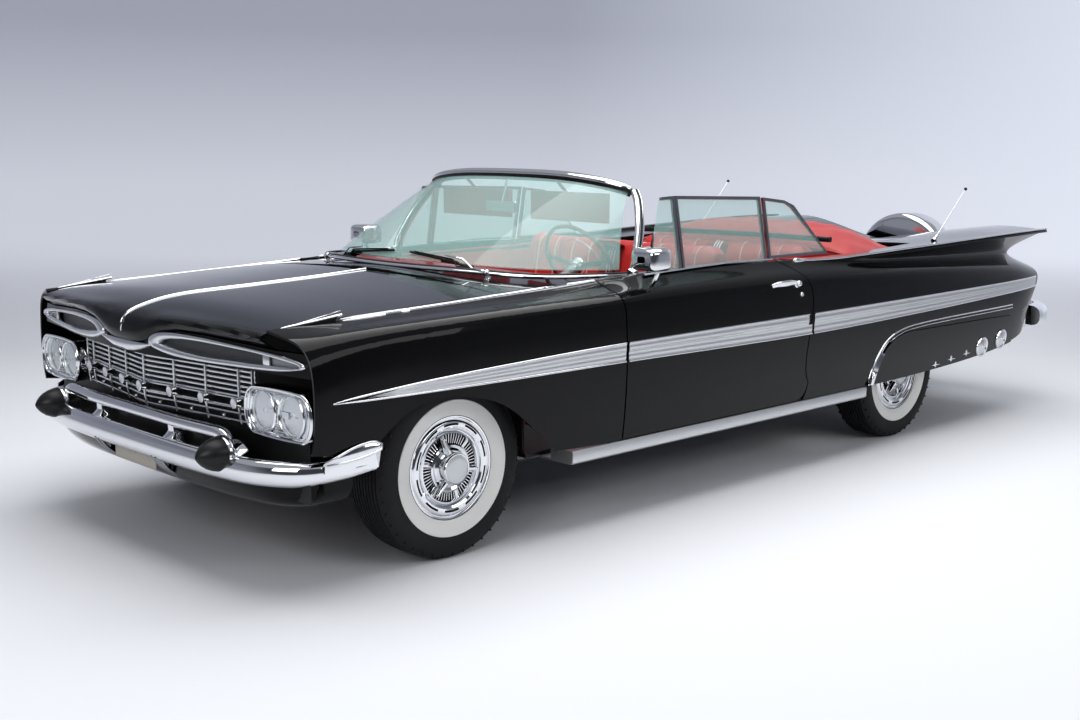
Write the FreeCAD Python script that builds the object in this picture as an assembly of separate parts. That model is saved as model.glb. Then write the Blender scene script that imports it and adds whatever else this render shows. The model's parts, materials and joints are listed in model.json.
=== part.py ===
"""Full-size 1950s convertible car, built as separate parts.

Millimetres, +X forward, +Y left, +Z up.  The parts are drawn with the front axle at x = 0 and
moved at export, so that the finished car has its origin on the ground under its middle.
"""
import FreeCAD, Part
import math
import os
from FreeCAD import Vector

# ---------------------------------------------------------------- driving dimensions
WHEELBASE = 3023.0            # front axle to rear axle
FRONT_OVERHANG = 900.0        # front axle to the tips of the bumper bullets
REAR_OVERHANG = 1617.0        # rear axle to the face of the extended rear bumper
FRONT_TRACK = 1532.0
REAR_TRACK = 1506.0
HALF_WIDTH = 1014.0           # control width of the body side
SILL_Z = 350.0                # lower edge of doors and side panels
BELT_Z = 985.0                # top of the doors
TYRE_RADIUS = 340.0
TYRE_WIDTH = 198.0
RIM_RADIUS = 180.0
SKIN = 9.0                    # outer panels, with their stiffening
SHUT_GAP = 7.0                # round doors, hood and deck lid
FIT = 0.3                     # between pieces of one body
GLASS = 6.0
STEER_LOCK = 30.0

# stations along the car, from the front axle
REAR_AXLE = -WHEELBASE
DOOR_FRONT = -765.0
DOOR_REAR = -1995.0
HOOD_REAR = -262.0
DASH_REAR = -800.0
WELL_FRONT = REAR_AXLE + 463.0
WELL_REAR = REAR_AXLE - 205.0
LID_FRONT = REAR_AXLE - 290.0
LID_REAR = REAR_AXLE - 1120.0
LID_HALF = 560.0
WELL_HALF = 752.0
TAIL_X = REAR_AXLE - 1265.0

RAIL_LOW, RAIL_HIGH = 187.0, 283.0
RAIL_Y, RAIL_WIDTH = 330.0, 75.0
REAR_RAIL_Y = 475.0
KICK_X = REAR_AXLE + 600.0    # where the floor steps up under the rear seat

# axes
STEER_AXIS_Y = FRONT_TRACK / 2 - 76.0
DOOR_HINGE = (DOOR_FRONT - 60.0, HALF_WIDTH - 22.0)
HOOD_HINGE = (HOOD_REAR + 12.0, BELT_Z + 9.0)
LID_HINGE = (LID_FRONT - 6.0, BELT_Z + 12.0)
COLUMN_LOW = (-330.0, 400.0, 560.0)
COLUMN_HIGH = (-1120.0, 400.0, 985.0)

ORIGIN_SHIFT = (WHEELBASE + REAR_OVERHANG - FRONT_OVERHANG) / 2

# ---------------------------------------------------------------- body side sections
# Control sections of the left side, front to rear.  A station is x, then one (inset, height) pair
# for each row: inset from the half width, and height over the sill for the first four rows or
# under the belt for the others.
SIDE_ROWS = ("sill", "lower", "middle", "trim", "upper", "shoulder_low", "shoulder_top", "hollow", "crown")
ROWS_OVER_SILL = 4
SIDE_STATIONS = [
    (690.0, ((39, 165), (24, 212), (16, 270), (14, 340), (19, 215), (34, 150), (74, 104), (134, 90), (203, 73))),
    (560.0, ((33, 150), (18, 195), (10, 255), (6, 345), (9, 195), (16, 118), (56, 76), (128, 80), (203, 62))),
    (200.0, ((29, 100), (14, 160), (4, 240), (0, 350), (4, 185), (10, 105), (46, 62), (122, 72), (203, 50))),
    (-350.0, ((29, 0), (14, 110), (4, 240), (0, 352), (4, 182), (8, 98), (44, 54), (120, 60), (199, 30))),
    (-900.0, ((29, 0), (14, 110), (4, 240), (0, 355), (4, 180), (8, 96), (44, 48), (110, 36), (166, 4))),
    (-1600.0, ((29, 0), (14, 110), (4, 240), (0, 358), (4, 180), (8, 96), (40, 48), (104, 26), (154, -12))),
    (-2150.0, ((29, 0), (14, 110), (4, 240), (0, 362), (4, 178), (9, 92), (44, 52), (88, 26), (110, 12))),
    (REAR_AXLE + 500.0, ((29, 0), (14, 110), (4, 242), (0, 366), (4, 176), (10, 92), (54, 58), (96, 38), (52, 5))),
    (REAR_AXLE - 227.0, ((31, 15), (15, 120), (5, 248), (0, 374), (6, 180), (14, 112), (66, 80), (116, 60), (32, -17))),
    (REAR_AXLE - 827.0, ((36, 50), (22, 140), (12, 255), (8, 382), (18, 182), (44, 128), (112, 98), (160, 68), (34, -33))),
    (REAR_AXLE - 1100.0, ((50, 95), (40, 170), (30, 262), (24, 388), (36, 185), (80, 138), (150, 104), (185, 70), (44, -36))),
    (TAIL_X, ((72, 130), (66, 190), (60, 268), (54, 395), (74, 190), (130, 148), (180, 112), (206, 72), (74, -34))),
]
# rows of the first and last station that stand ahead of it or trail behind it
FRONT_REACH_BY_ROW = (0, 0, 0, 0, 0, 4, 12, 28, 50)
TAIL_REACH_BY_ROW = (140, 118, 92, 10, 0, 50, 150, 190, -90)

# wheel openings, (x from the axle, height)
FRONT_ARCH = ((498, 200), (490, 425), (437, 519), (345, 598), (177, 646), (30, 628), (-110, 583),
              (-250, 487), (-358, 394), (-480, 290))
SKIRT_OPENING = ((545, 290), (500, 360), (430, 460), (370, 520), (280, 560), (120, 572), (-600, 566),
                 (-865, 560), (-905, 540), (-915, 480), (-915, 290))


def vec(p):
    return Vector(p[0], p[1], p[2])


def box(x0, x1, y0, y1, z0, z1):
    """Box between two corners given axis by axis."""
    low = Vector(min(x0, x1), min(y0, y1), min(z0, z1))
    return Part.makeBox(abs(x1 - x0), abs(y1 - y0), abs(z1 - z0), low)


def rod(p, q, radius):
    """Round bar from p to q."""
    p, q = vec(p), vec(q)
    return Part.makeCylinder(radius, (q - p).Length, p, q - p)


def beam(p, q, width, height):
    """Rectangular bar from p to q, its width level and its height upright."""
    p, q = vec(p), vec(q)
    along = (q - p).normalize()
    side = Vector(0, 0, 1).cross(along).normalize() * (width / 2)
    up = along.cross(side).normalize() * (height / 2)
    ring = [p + side + up, p - side + up, p - side - up, p + side - up]
    face = Part.Face(Part.makePolygon(ring + ring[:1]))
    return face.extrude(q - p)


def fuse(shapes):
    """One solid from pieces that overlap or touch."""
    first, rest = shapes[0], shapes[1:]
    body = first.fuse(rest) if rest else first
    return body.removeSplitter()


def mirrored(shape):
    """The same piece on the right side."""
    return shape.mirror(Vector(0, 0, 0), Vector(0, 1, 0))


def both_sides(shape):
    return Part.makeCompound([shape, mirrored(shape)])


def side_outline(points, y0, y1, smooth=()):
    """Prism across the car from an outline of (x, z) points; runs of points named by (first, last)
    indices in smooth are joined by one curve instead of straight lines."""
    edges = []
    i = 0
    starts = {a: b for a, b in smooth}
    while i < len(points) - 1:
        j = starts.get(i, i + 1)
        run = [Vector(x, y0, z) for x, z in points[i:j + 1]]
        if len(run) > 2:
            curve = Part.BSplineCurve()
            curve.interpolate(run)
            edges.append(curve.toShape())
        else:
            edges.append(Part.LineSegment(run[0], run[1]).toShape())
        i = j
    edges.append(Part.LineSegment(edges[-1].Vertexes[-1].Point, edges[0].Vertexes[0].Point).toShape())
    return Part.Face(Part.Wire(edges)).extrude(Vector(0, y1 - y0, 0))


def plan_outline(points, z0, z1):
    """Prism upwards from an outline of (x, y) points."""
    ring = [Vector(x, y, z0) for x, y in points]
    return Part.Face(Part.makePolygon(ring + ring[:1])).extrude(Vector(0, 0, z1 - z0))


def front_outline(points, x0, x1):
    """Prism along the car from an outline of (y, z) points."""
    ring = [Vector(x0, y, z) for y, z in points]
    return Part.Face(Part.makePolygon(ring + ring[:1])).extrude(Vector(x1 - x0, 0, 0))


# ---------------------------------------------------------------- curved panels
def knots(count):
    """Knots and multiplicities of a clamped cubic through count control points."""
    spans = count - 3
    return list(range(spans + 1)), [4] + [1] * (spans - 1) + [4]


def net_surface(net):
    """Cubic surface over a net of control points, net[row][station]."""
    u_knots, u_mults = knots(len(net))
    v_knots, v_mults = knots(len(net[0]))
    surface = Part.BSplineSurface()
    surface.buildFromPolesMultsKnots(net, u_mults, v_mults, u_knots, v_knots, False, False, 3, 3)
    return surface


def net_normal(net, i, j):
    rows, cols = len(net) - 1, len(net[0]) - 1
    along_i = net[min(i + 1, rows)][j] - net[max(i - 1, 0)][j]
    along_j = net[i][min(j + 1, cols)] - net[i][max(j - 1, 0)]
    return along_i.cross(along_j).normalize()


def offset_net(net, distance):
    """The net moved along its normals."""
    return [[point + net_normal(net, i, j) * distance for j, point in enumerate(row)]
            for i, row in enumerate(net)]


def rim_face(curve_a, curve_b):
    """Ruled face between two boundary curves with the same knots."""
    surface = Part.BSplineSurface()
    surface.buildFromPolesMultsKnots([curve_a.getPoles(), curve_b.getPoles()], [2, 2],
                                     curve_a.getMultiplicities(), [0, 1], curve_a.getKnots(),
                                     False, False, 1, 3)
    return surface.toShape()


def surface_slab(surface, inner_poles):
    """Closed solid between a surface and the same surface with other control points."""
    other = surface.copy()
    for i, row in enumerate(inner_poles):
        for j, point in enumerate(row):
            other.setPole(i + 1, j + 1, point)
    u0, u1, v0, v1 = surface.bounds()
    faces = [surface.toShape(), other.toShape()]
    faces += [rim_face(surface.uIso(u), other.uIso(u)) for u in (u0, u1)]
    faces += [rim_face(surface.vIso(v), other.vIso(v)) for v in (v0, v1)]
    shell = Part.Shell(faces)
    shell.sewShape()
    solid = Part.Solid(Part.Shell(shell.Faces))
    if solid.Volume < 0:
        solid.reverse()
    return solid


def slab(outer, inner):
    """Closed solid between two nets of the same size."""
    return surface_slab(net_surface(outer), inner)


def side_net():
    """Control net of the left body side, net[row][station]."""
    net = []
    for r in range(len(SIDE_ROWS)):
        row = []
        for s, (x, pairs) in enumerate(SIDE_STATIONS):
            inset, height = pairs[r]
            z = SILL_Z + height if r < ROWS_OVER_SILL else BELT_Z - height
            if s == 0:
                x += FRONT_REACH_BY_ROW[r]
            if s == len(SIDE_STATIONS) - 1:
                x += TAIL_REACH_BY_ROW[r]
            row.append(Vector(x, HALF_WIDTH - inset, z))
        net.append(row)
    return net


SIDE_NET = side_net()


def part_of_net(net, x_front, x_rear):
    """The stretch of a net between two stations, as a new net."""
    surface = net_surface(net)
    low, high = 0.0, float(len(net[0]) - 3)

    def parameter(x):
        a, b = low, high
        for _ in range(60):
            mid = (a + b) / 2
            if surface.value(0.0, mid).x > x:
                a = mid
            else:
                b = mid
        return (a + b) / 2

    v0 = low if x_front is None else parameter(x_front)
    v1 = high if x_rear is None else parameter(x_rear)
    rows = float(len(net) - 3)
    surface.segment(0.0, rows, v0, v1)
    return surface


def ramp(x, points):
    """Height or width at x, straight between (x, value) points that run rearward."""
    if x >= points[0][0]:
        return points[0][1]
    for (xa, a), (xb, b) in zip(points, points[1:]):
        if x >= xb:
            return a + (b - a) * (xa - x) / (xa - xb)
    return points[-1][1]


def patch(surface, above, below, u_range=None, v_range=None):
    """Slab over a stretch of a surface.  Its outer face stands above the surface and its inner
    face below it; both distances run inward, so a negative one stands proud."""
    piece = surface.copy()
    u0, u1, v0, v1 = piece.bounds()
    if u_range or v_range:
        ur = u_range or (0, 1)
        vr = v_range or (0, 1)
        piece.segment(u0 + (u1 - u0) * ur[0], u0 + (u1 - u0) * ur[1],
                      v0 + (v1 - v0) * vr[0], v0 + (v1 - v0) * vr[1])
    poles = piece.getPoles()
    outer = piece.copy()
    for i in range(len(poles)):
        for j in range(len(poles[0])):
            outer.setPole(i + 1, j + 1, poles[i][j] + net_normal(poles, i, j) * above)
    inner = [[p + net_normal(poles, i, j) * below for j, p in enumerate(row)]
             for i, row in enumerate(poles)]
    return surface_slab(outer, inner)


# ---------------------------------------------------------------- body panels
DOOR_BELT_REAR = DOOR_REAR + 118.0
DOOR_CORNER = 80.0


def door_outline(grow):
    """Prism through both walls of the left side on the door's outline, grown all round."""
    front, rear, low = DOOR_FRONT + grow, DOOR_REAR - grow, SILL_Z + 2 - grow
    if grow:
        low -= 60
    belt = DOOR_BELT_REAR - grow
    points = [(front - 7, low), (front + 8, BELT_Z + 60), (belt, BELT_Z + 60),
              (belt, BELT_Z + 4), (rear + 60, BELT_Z - 38), (rear + 14, BELT_Z - 96),
              (rear, BELT_Z - 220), (rear - 6, SILL_Z + DOOR_CORNER + 2),
              (rear + 18, SILL_Z + 25 - (grow and 20)), (rear + DOOR_CORNER, low)]
    return side_outline(points, HALF_WIDTH - 260, HALF_WIDTH + 40, smooth=((3, 7), (7, 9)))


def door_swing():
    """What the door's rear edge sweeps about its hinge: the edges behind it stay clear of this."""
    x, y = DOOR_HINGE
    half = door_outline(0).common(box(x, DOOR_REAR - 60, y, HALF_WIDTH + 60, 0, 2 * BELT_Z))
    face = min(half.Faces, key=lambda f: abs(f.CenterOfMass.y - y) + abs(f.BoundBox.YLength))
    return face.revolve(Vector(x, y, 0), Vector(0, 0, 1), 360)


def arch_prism(points, axle):
    points = [(axle + x, z) for x, z in points]
    return side_outline(points, HALF_WIDTH - 400, HALF_WIDTH + 60, smooth=((1, len(points) - 1),))


def skirt_prism(grow):
    points = [(REAR_AXLE + x, z) for x, z in SKIRT_OPENING]
    x0, x1 = points[0][0], points[-1][0]
    cx, cz = (x0 + x1) / 2, 290
    wide = (x0 - x1) / 2
    grown = [(cx + (x - cx) * (1 + grow / wide), cz + (z - cz) * (1 + grow / 280)) for x, z in points]
    grown[0] = (grown[0][0], 200)
    grown[-1] = (grown[-1][0], 200)
    return side_outline(grown, HALF_WIDTH - 400, HALF_WIDTH + 60, smooth=((1, 5), (7, 9)))


SIDE_SURFACE = net_surface(SIDE_NET)
# height of the roll at the top of the panel from which the hood and the glass start
HOOD_HALF = HALF_WIDTH - 203.0 - SHUT_GAP - 1


def side_panels():
    """Front fender and rear quarter of the left side, cut from one skin."""
    skin = patch(SIDE_SURFACE, 0, SKIN)
    skin = skin.cut(door_outline(SHUT_GAP)).cut(arch_prism(FRONT_ARCH, 0)).cut(skirt_prism(0))
    solids = sorted(skin.Solids, key=lambda s: s.BoundBox.XMax)
    return solids[-1], solids[0]


DOOR_INNER_WALL = HALF_WIDTH - 132.0
DOOR_TOP_INNER = HALF_WIDTH - 204.0


def door_shell():
    """Left door, as thick as the real one, with the slot for its glass."""
    surface = part_of_net(SIDE_NET, DOOR_FRONT + 60, DOOR_REAR - 60)
    inner = []
    depths = (0, 0, 0, 0, 0, 4, 14, 40, 0)
    for r, row in enumerate(surface.getPoles()):
        top = len(depths) - 1
        y = DOOR_TOP_INNER if r == top else DOOR_INNER_WALL - (28 if r >= top - 1 else 0)
        inner.append([Vector(p.x, y - depths[r] * (r < top), p.z - (18 if r == top - 1 else 0)) for p in row])
    slab_solid = surface_slab(surface, inner)
    return slab_solid.common(door_outline(0)).common(door_swing())


# heights of the rear deck, as (x, z) runs at shares of the outer row's width
DECK_EDGE = HALF_WIDTH - 101.0
DECK_ROWS = (
    (1.00, ((DOOR_REAR, 968), (REAR_AXLE + 500, 968), (REAR_AXLE - 200, 992), (REAR_AXLE - 800, 1024), (TAIL_X, 1026))),
    (0.82, ((DOOR_REAR, 985), (REAR_AXLE + 500, 964), (REAR_AXLE - 200, 988), (REAR_AXLE - 800, 1036), (TAIL_X, 1040))),
    (0.644, ((DOOR_REAR, 975), (REAR_AXLE + 500, 964), (REAR_AXLE - 200, 986), (REAR_AXLE - 800, 1026), (TAIL_X, 1036))),
    (0.378, ((DOOR_REAR, 970), (REAR_AXLE + 500, 966), (REAR_AXLE - 200, 980), (REAR_AXLE - 800, 985), (TAIL_X, 990))),
    (0.134, ((DOOR_REAR, 970), (REAR_AXLE + 500, 966), (REAR_AXLE - 200, 976), (REAR_AXLE - 800, 942), (TAIL_X, 932))),
    (0.00, ((DOOR_REAR, 970), (REAR_AXLE + 500, 966), (REAR_AXLE - 200, 975), (REAR_AXLE - 800, 934), (TAIL_X, 922))),
)
DECK_TAIL_LEAD = (20, 45, 75, 130, 165, 175)
DECK_TUCK = 4.0               # the fin's top starts this far under the edge of the side
DECK_LIP = 1.5                # and stands this far out over it


def deck_surface():
    """Top of the left rear half, from the fin's edge to the centre line."""
    edge = part_of_net(SIDE_NET, DOOR_REAR - SHUT_GAP, None).getPoles()[-1]
    net = [[p + Vector(0, DECK_LIP, -DECK_TUCK) for p in edge]]
    for (share, heights), lead in zip(DECK_ROWS, DECK_TAIL_LEAD):
        row = []
        for p in edge:
            back = max(0.0, (REAR_AXLE - 800 - p.x) / (REAR_AXLE - 800 - TAIL_X))
            row.append(Vector(p.x + lead * min(back, 1.0), DECK_EDGE * share,
                              ramp(p.x, heights) - DECK_TUCK))
        net.append(row)
    return net_surface(net)


DECK_SURFACE = deck_surface()
DECK_SKIN = 10.0


def deck_slabs():
    """Fin top of the left side, centre strip ahead of the lid, and the lid."""
    below = [[p - Vector(0, 0, DECK_SKIN) for p in row] for row in DECK_SURFACE.getPoles()]
    top = surface_slab(DECK_SURFACE, below)
    whole = fuse([top, mirrored(top)])
    well = box(DOOR_REAR + 200, WELL_REAR, -WELL_HALF, WELL_HALF, 800, 1200)
    whole = whole.cut(well)
    fin = whole.common(box(DOOR_REAR + 100, TAIL_X - 400, LID_HALF, HALF_WIDTH + 100, 700, 1300))
    strip = whole.common(box(WELL_REAR + 1, LID_FRONT, -LID_HALF + FIT, LID_HALF - FIT, 700, 1300))
    inset = LID_HALF - SHUT_GAP
    lid = whole.common(box(LID_FRONT - SHUT_GAP, TAIL_X - 400, -inset, inset, 700, 1300))
    return fin, strip, lid


# hood stations: x, height at the centre, height at the side, lead of the centre over the sides,
# and the way to the inner face, back and down
HOOD_STATIONS = (
    (712, 806, 838, 44, 14, 0), (742, 822, 856, 44, 14, 2), (762, 872, 888, 40, 13, 6), (700, 912, 908, 38, 5, 13),
    (560, 926, 921, 20, 0, 14), (250, 952, 934, 6, 0, 14), (-20, 975, 945, 0, 0, 14), (HOOD_REAR, 994, 953, 0, 0, 14),
)
HOOD_ROWS = (-1.0, -0.86, -0.55, -0.22, -0.035, 0.0, 0.035, 0.22, 0.55, 0.86, 1.0)
HOOD_RIDGE = 9.0


def hood_panel():
    outer, inner = [], []
    for share in HOOD_ROWS:
        fade = 1 - share * share
        ridge = HOOD_RIDGE if share == 0 else 0
        run = [Vector(x + lead * fade, HOOD_HALF * share, side + (mid - side) * fade + ridge)
               for x, mid, side, lead, back, down in HOOD_STATIONS]
        outer.append(run)
        inner.append([p - Vector(station[4], 0, station[5]) for p, station in zip(run, HOOD_STATIONS)])
    return slab(outer, inner)


# front edge of the body in plan, (x, y)
NOSE_CURVE = ((730, 0), (729, 200), (720, 450), (704, HALF_WIDTH - 314), (692, HALF_WIDTH - 154),
              (684, HALF_WIDTH - 49))
NOSE_LOW, NOSE_TOP, NOSE_DEPTH = 724.0, 828.0, 42.0
BROW_SLOT = ((60, 806), (330, 812), (700, 812), (880, 800), (925, 788), (880, 770), (600, 752), (330, 768))


def band(curve, depth, z0, z1):
    """Upright band across the car that follows a plan curve of (x, y) points on both sides."""
    front = [Vector(x, -y, z0) for x, y in reversed(curve[1:])] + [Vector(x, y, z0) for x, y in curve]
    line = Part.BSplineCurve()
    line.interpolate(front)
    back = Part.BSplineCurve()
    back.interpolate([p - Vector(depth, 0, 0) for p in front])
    a, b = line.toShape(), back.toShape()
    ends = [Part.LineSegment(front[k], front[k] - Vector(depth, 0, 0)).toShape() for k in (0, -1)]
    face = Part.Face(Part.Wire(Part.__sortEdges__([a, ends[1], b, ends[0]])))
    return face.extrude(Vector(0, 0, z1 - z0))


def nose_panel():
    """Header panel over the grille with its two long openings."""
    panel = band(NOSE_CURVE, NOSE_DEPTH, NOSE_LOW, NOSE_TOP)
    slot = front_outline(BROW_SLOT, 500, 900)
    return panel.cut(slot).cut(mirrored(slot))


COWL_HALF = HALF_WIDTH - 222.0
# rear edge of the cowl's left half, (x, y), up the arm to the pillar
COWL_EDGE = ((-400, 0), (-440, 300), (-620, 560), (-860, COWL_HALF - 60), (-1045, COWL_HALF - 36))


def cowl_panel():
    """Panel between hood and windscreen, with the arms that run back to the pillars."""
    front = HOOD_REAR - SHUT_GAP
    left = list(COWL_EDGE) + [(-1045, COWL_HALF), (front, COWL_HALF)]
    outline = left + [(x, -y) for x, y in reversed(left)][:-1]
    blank = plan_outline(outline, 880, 1060)
    rows = []
    for share in HOOD_ROWS:
        fade = 1 - share * share
        rows.append([Vector(x, (COWL_HALF + 6) * share, side + (mid - side) * fade)
                     for x, mid, side in ((-240, 993, 952), (-420, 1000, 957), (-700, 1000, 963), (-1070, 1000, 966))])
    slab_solid = slab(rows, [[p - Vector(0, 0, 24) for p in row] for row in rows])
    return slab_solid.common(blank).cut(screen_seat())


# ---------------------------------------------------------------- windscreen and glass
SCREEN_BASE = ((-385, 0, 1004), (-425, COWL_HALF - 392, 1004), (-560, COWL_HALF - 102, 992),
               (-820, COWL_HALF - 7, 984), (-1035, COWL_HALF - 8, 976))
SCREEN_TOP = ((-1075, 0, 1372), (-1082, COWL_HALF - 492, 1368), (-1105, COWL_HALF - 292, 1350),
              (-1150, COWL_HALF - 182, 1326), (-1190, COWL_HALF - 152, 1308))
SCREEN_BULGE = 26.0


def screen_surface():
    net = []
    for share, bulge in ((0.0, 0.0), (0.33, 1.0), (0.67, 1.0), (1.0, 0.0)):
        half = [vec(a) * (1 - share) + vec(b) * share + Vector(0.8, 0, 0.6) * (SCREEN_BULGE * bulge)
                for a, b in zip(SCREEN_BASE, SCREEN_TOP)]
        net.append([Vector(p.x, -p.y, p.z) for p in reversed(half[1:])] + half)
    return net_surface(net)


SCREEN_LOW, SCREEN_HIGH, SCREEN_SIDE = 0.045, 0.94, 0.022
FRAME_HALF, HEADER_HALF = 13.0, 17.0


def screen_seat():
    """Space of the windscreen frame's foot, with its clearance."""
    return patch(screen_surface(), -FRAME_HALF - FIT, FRAME_HALF + FIT, (0, SCREEN_LOW))


def header_seat():
    return patch(screen_surface(), -HEADER_HALF - FIT, HEADER_HALF + FIT, (SCREEN_HIGH, 1.0))


def windscreen():
    surface = screen_surface()
    low, top, side = SCREEN_LOW, SCREEN_HIGH, SCREEN_SIDE
    glass = patch(surface, -GLASS / 2, GLASS / 2, (low, top), (side, 1 - side))
    seat = FIT / 400
    wall = FRAME_HALF
    frame = [patch(surface, -wall, wall, (0, low - seat)),
             patch(surface, -HEADER_HALF, HEADER_HALF, (top + seat, 1.0)),
             patch(surface, -wall, wall, None, (0, side - seat / 3)),
             patch(surface, -wall, wall, None, (1 - side + seat / 3, 1.0))]
    return fuse(frame), glass


GLASS_Y = HALF_WIDTH - 180.0
GLASS_LEAN = 10.0
GLASS_FOOT = BELT_Z - 70.0


def leaned(shape):
    """Side glass leans inward from the belt."""
    return shape.rotate(Vector(0, GLASS_Y, BELT_Z), Vector(1, 0, 0), GLASS_LEAN)


def ring_outline(points, shrink):
    cx = sum(p[0] for p in points) / len(points)
    cz = sum(p[1] for p in points) / len(points)
    return [(x + (shrink if x < cx else -shrink), z + (shrink if z < cz else -shrink)) for x, z in points]


GLASS_FRONT, GLASS_REAR = DOOR_FRONT - 307.0, DOOR_REAR + 123.0
VENT_REAR = GLASS_FRONT - 210.0
GLASS_GAP = 8.0
QUARTER_FRONT = GLASS_REAR - 21.0
VENT = ((GLASS_FRONT, GLASS_FOOT), (GLASS_FRONT, 1000), (VENT_REAR + 77, 1288), (VENT_REAR, 1291),
        (VENT_REAR, GLASS_FOOT))
DROP = ((VENT_REAR - GLASS_GAP, GLASS_FOOT), (VENT_REAR - GLASS_GAP, 1291), (GLASS_REAR, 1272),
        (GLASS_REAR, GLASS_FOOT))
QUARTER = ((QUARTER_FRONT, 990), (QUARTER_FRONT, 1268), (QUARTER_FRONT - 157, 1250), (QUARTER_FRONT - 227, 1225),
           (QUARTER_FRONT - 457, 990))
FRAME_BAR = 13.0


def side_glass(points):
    """Frame ring and pane of one side window."""
    outer = side_outline(list(points), GLASS_Y - 7, GLASS_Y + 7)
    inner = side_outline(ring_outline(points, FRAME_BAR), GLASS_Y - 20, GLASS_Y + 20)
    pane = side_outline(ring_outline(points, FRAME_BAR + FIT), GLASS_Y - GLASS / 2, GLASS_Y + GLASS / 2)
    return leaned(outer.cut(inner)), leaned(pane)


# ---------------------------------------------------------------- wheels and running gear
def turned(profile, y, axle_x, height):
    """Solid of revolution about a wheel axis, from (radius, offset outward) points."""
    ring = [Vector(0, o, r) for r, o in profile]
    face = Part.Face(Part.makePolygon(ring + ring[:1]))
    solid = face.revolve(Vector(0, 0, 0), Vector(0, 1, 0), 360)
    solid.translate(Vector(axle_x, y, height))
    return solid


TYRE_FLATS = 68


def tyre(axle_x, y):
    """Tyre as a ring of equal flats, so that it stands on one of them."""
    w, r = TYRE_WIDTH / 2, TYRE_RADIUS
    bead = RIM_RADIUS + FIT
    half = [(bead, 72), (bead + 56, w - 2), (bead + 92, w), (r - 22, w - 8), (r, w - 42)]
    profile = half + [(radius, -offset) for radius, offset in reversed(half)]
    step = 2 * math.pi / TYRE_FLATS
    rings = []
    for k in range(TYRE_FLATS + 1):
        turn = (k + 0.5) * step
        out = Vector(math.sin(turn), 0, -math.cos(turn)) / math.cos(step / 2)
        rings.append([Vector(axle_x, y + o, TYRE_RADIUS) + out * radius for radius, o in profile])
    faces = []
    for a, b in zip(rings, rings[1:]):
        for i in range(len(profile)):
            corners = [a[i - 1], a[i], b[i], b[i - 1]]
            faces.append(Part.Face(Part.makePolygon(corners + corners[:1])))
    shell = Part.Shell(faces)
    shell.sewShape()
    solid = Part.Solid(shell)
    if solid.Volume < 0:
        solid.reverse()
    return solid


HUB_BORE = 18.4
SPINDLE = 18.0


def wheel(axle_x, y):
    """Steel rim with its full cover and the brake drum behind it."""
    rim = RIM_RADIUS
    profile = [(HUB_BORE, -38), (150, -38), (150, 6), (rim - 12, 10), (rim - 12, -70), (rim - 4, -86),
               (rim + 14, -86), (rim + 14, -79), (rim, -72), (rim, 72), (rim + 14, 79), (rim + 16, 88),
               (rim - 6, 92), (rim - 30, 80), (rim - 62, 84), (70, 96), (40, 112), (0, 116), (0, 60),
               (HUB_BORE, 60)]
    return turned(profile, y, axle_x, TYRE_RADIUS)


FRONT_Y, REAR_Y = FRONT_TRACK / 2, REAR_TRACK / 2
STUB = 9.0
ARM_LOW_Z, ARM_HIGH_Z = TYRE_RADIUS - 118, TYRE_RADIUS + 112


def knuckle():
    """Left upright with spindle, steering arm and the studs that sit in the arms' eyes."""
    y = STEER_AXIS_Y
    upright = box(-22, 22, y - 24, y + 24, ARM_LOW_Z + 9, ARM_HIGH_Z - 9)
    spindle = rod((0, y, TYRE_RADIUS), (0, FRONT_Y + 50, TYRE_RADIUS), SPINDLE)
    studs = rod((0, y, ARM_LOW_Z - 12), (0, y, ARM_HIGH_Z + 12), STUB)
    arm = beam((-10, y - 6, ARM_LOW_Z + 30), (-140, y - 44, ARM_LOW_Z + 30), 26, 18)
    return fuse([upright, spindle, studs, arm])


def front_suspension():
    """Cross member under the rails, a tower at each end and both pairs of arms."""
    y = STEER_AXIS_Y
    face = RAIL_Y + RAIL_WIDTH / 2 + FIT
    half = []
    for z in (ARM_LOW_Z, ARM_HIGH_Z):
        eye = rod((0, y, z - 8), (0, y, z + 8), 30)
        legs = [beam((dx, face + 10, z), (0, y - 4, z), 34, 15) for dx in (-120, 120)]
        half.append(fuse([eye] + legs).cut(rod((0, y, z - 60), (0, y, z + 60), STUB + 0.5)))
        half.append(box(-138, 138, face, face + 26, z - 11, z + 11))
    half.append(box(-60, 60, face, face + 40, RAIL_LOW - 45, ARM_HIGH_Z + 10))
    half.append(rod((0, (face + y) / 2, ARM_LOW_Z), (0, face + 20, ARM_HIGH_Z - 4), 16))
    cross = box(-70, 70, -face - 40, face + 40, RAIL_LOW - 50, RAIL_LOW - FIT)
    return fuse([cross] + half + [mirrored(h) for h in half])


def rear_axle():
    tube_end = REAR_Y - 60
    x, z = REAR_AXLE, TYRE_RADIUS
    shell = [rod((x, -tube_end, z), (x, tube_end, z), 38)]
    case = Part.makeSphere(135, Vector(x, 0, z))
    shell.append(case)
    shell.append(rod((x, 0, z), (x + 190, 0, z), 42))
    shafts = [rod((x, s * (tube_end - 20), z), (x, s * (REAR_Y + 50), z), SPINDLE) for s in (-1, 1)]
    springs = []
    for s in (-1, 1):
        springs.append(rod((x - 60, s * 470, z + 30), (x - 60, s * 470, z + 92), 55))
        springs.append(box(x - 115, x + 10, s * 470 - 50, s * 470 + 50, z - 10, z + 32))
        springs.append(beam((x + 20, s * 400, z - 50), (KICK_X - 80, s * 400, z - 90), 46, 50))
        springs.append(box(x - 40, x + 40, s * 375, s * 425, z - 80, z))
    return fuse(shell + shafts + springs)


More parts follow.
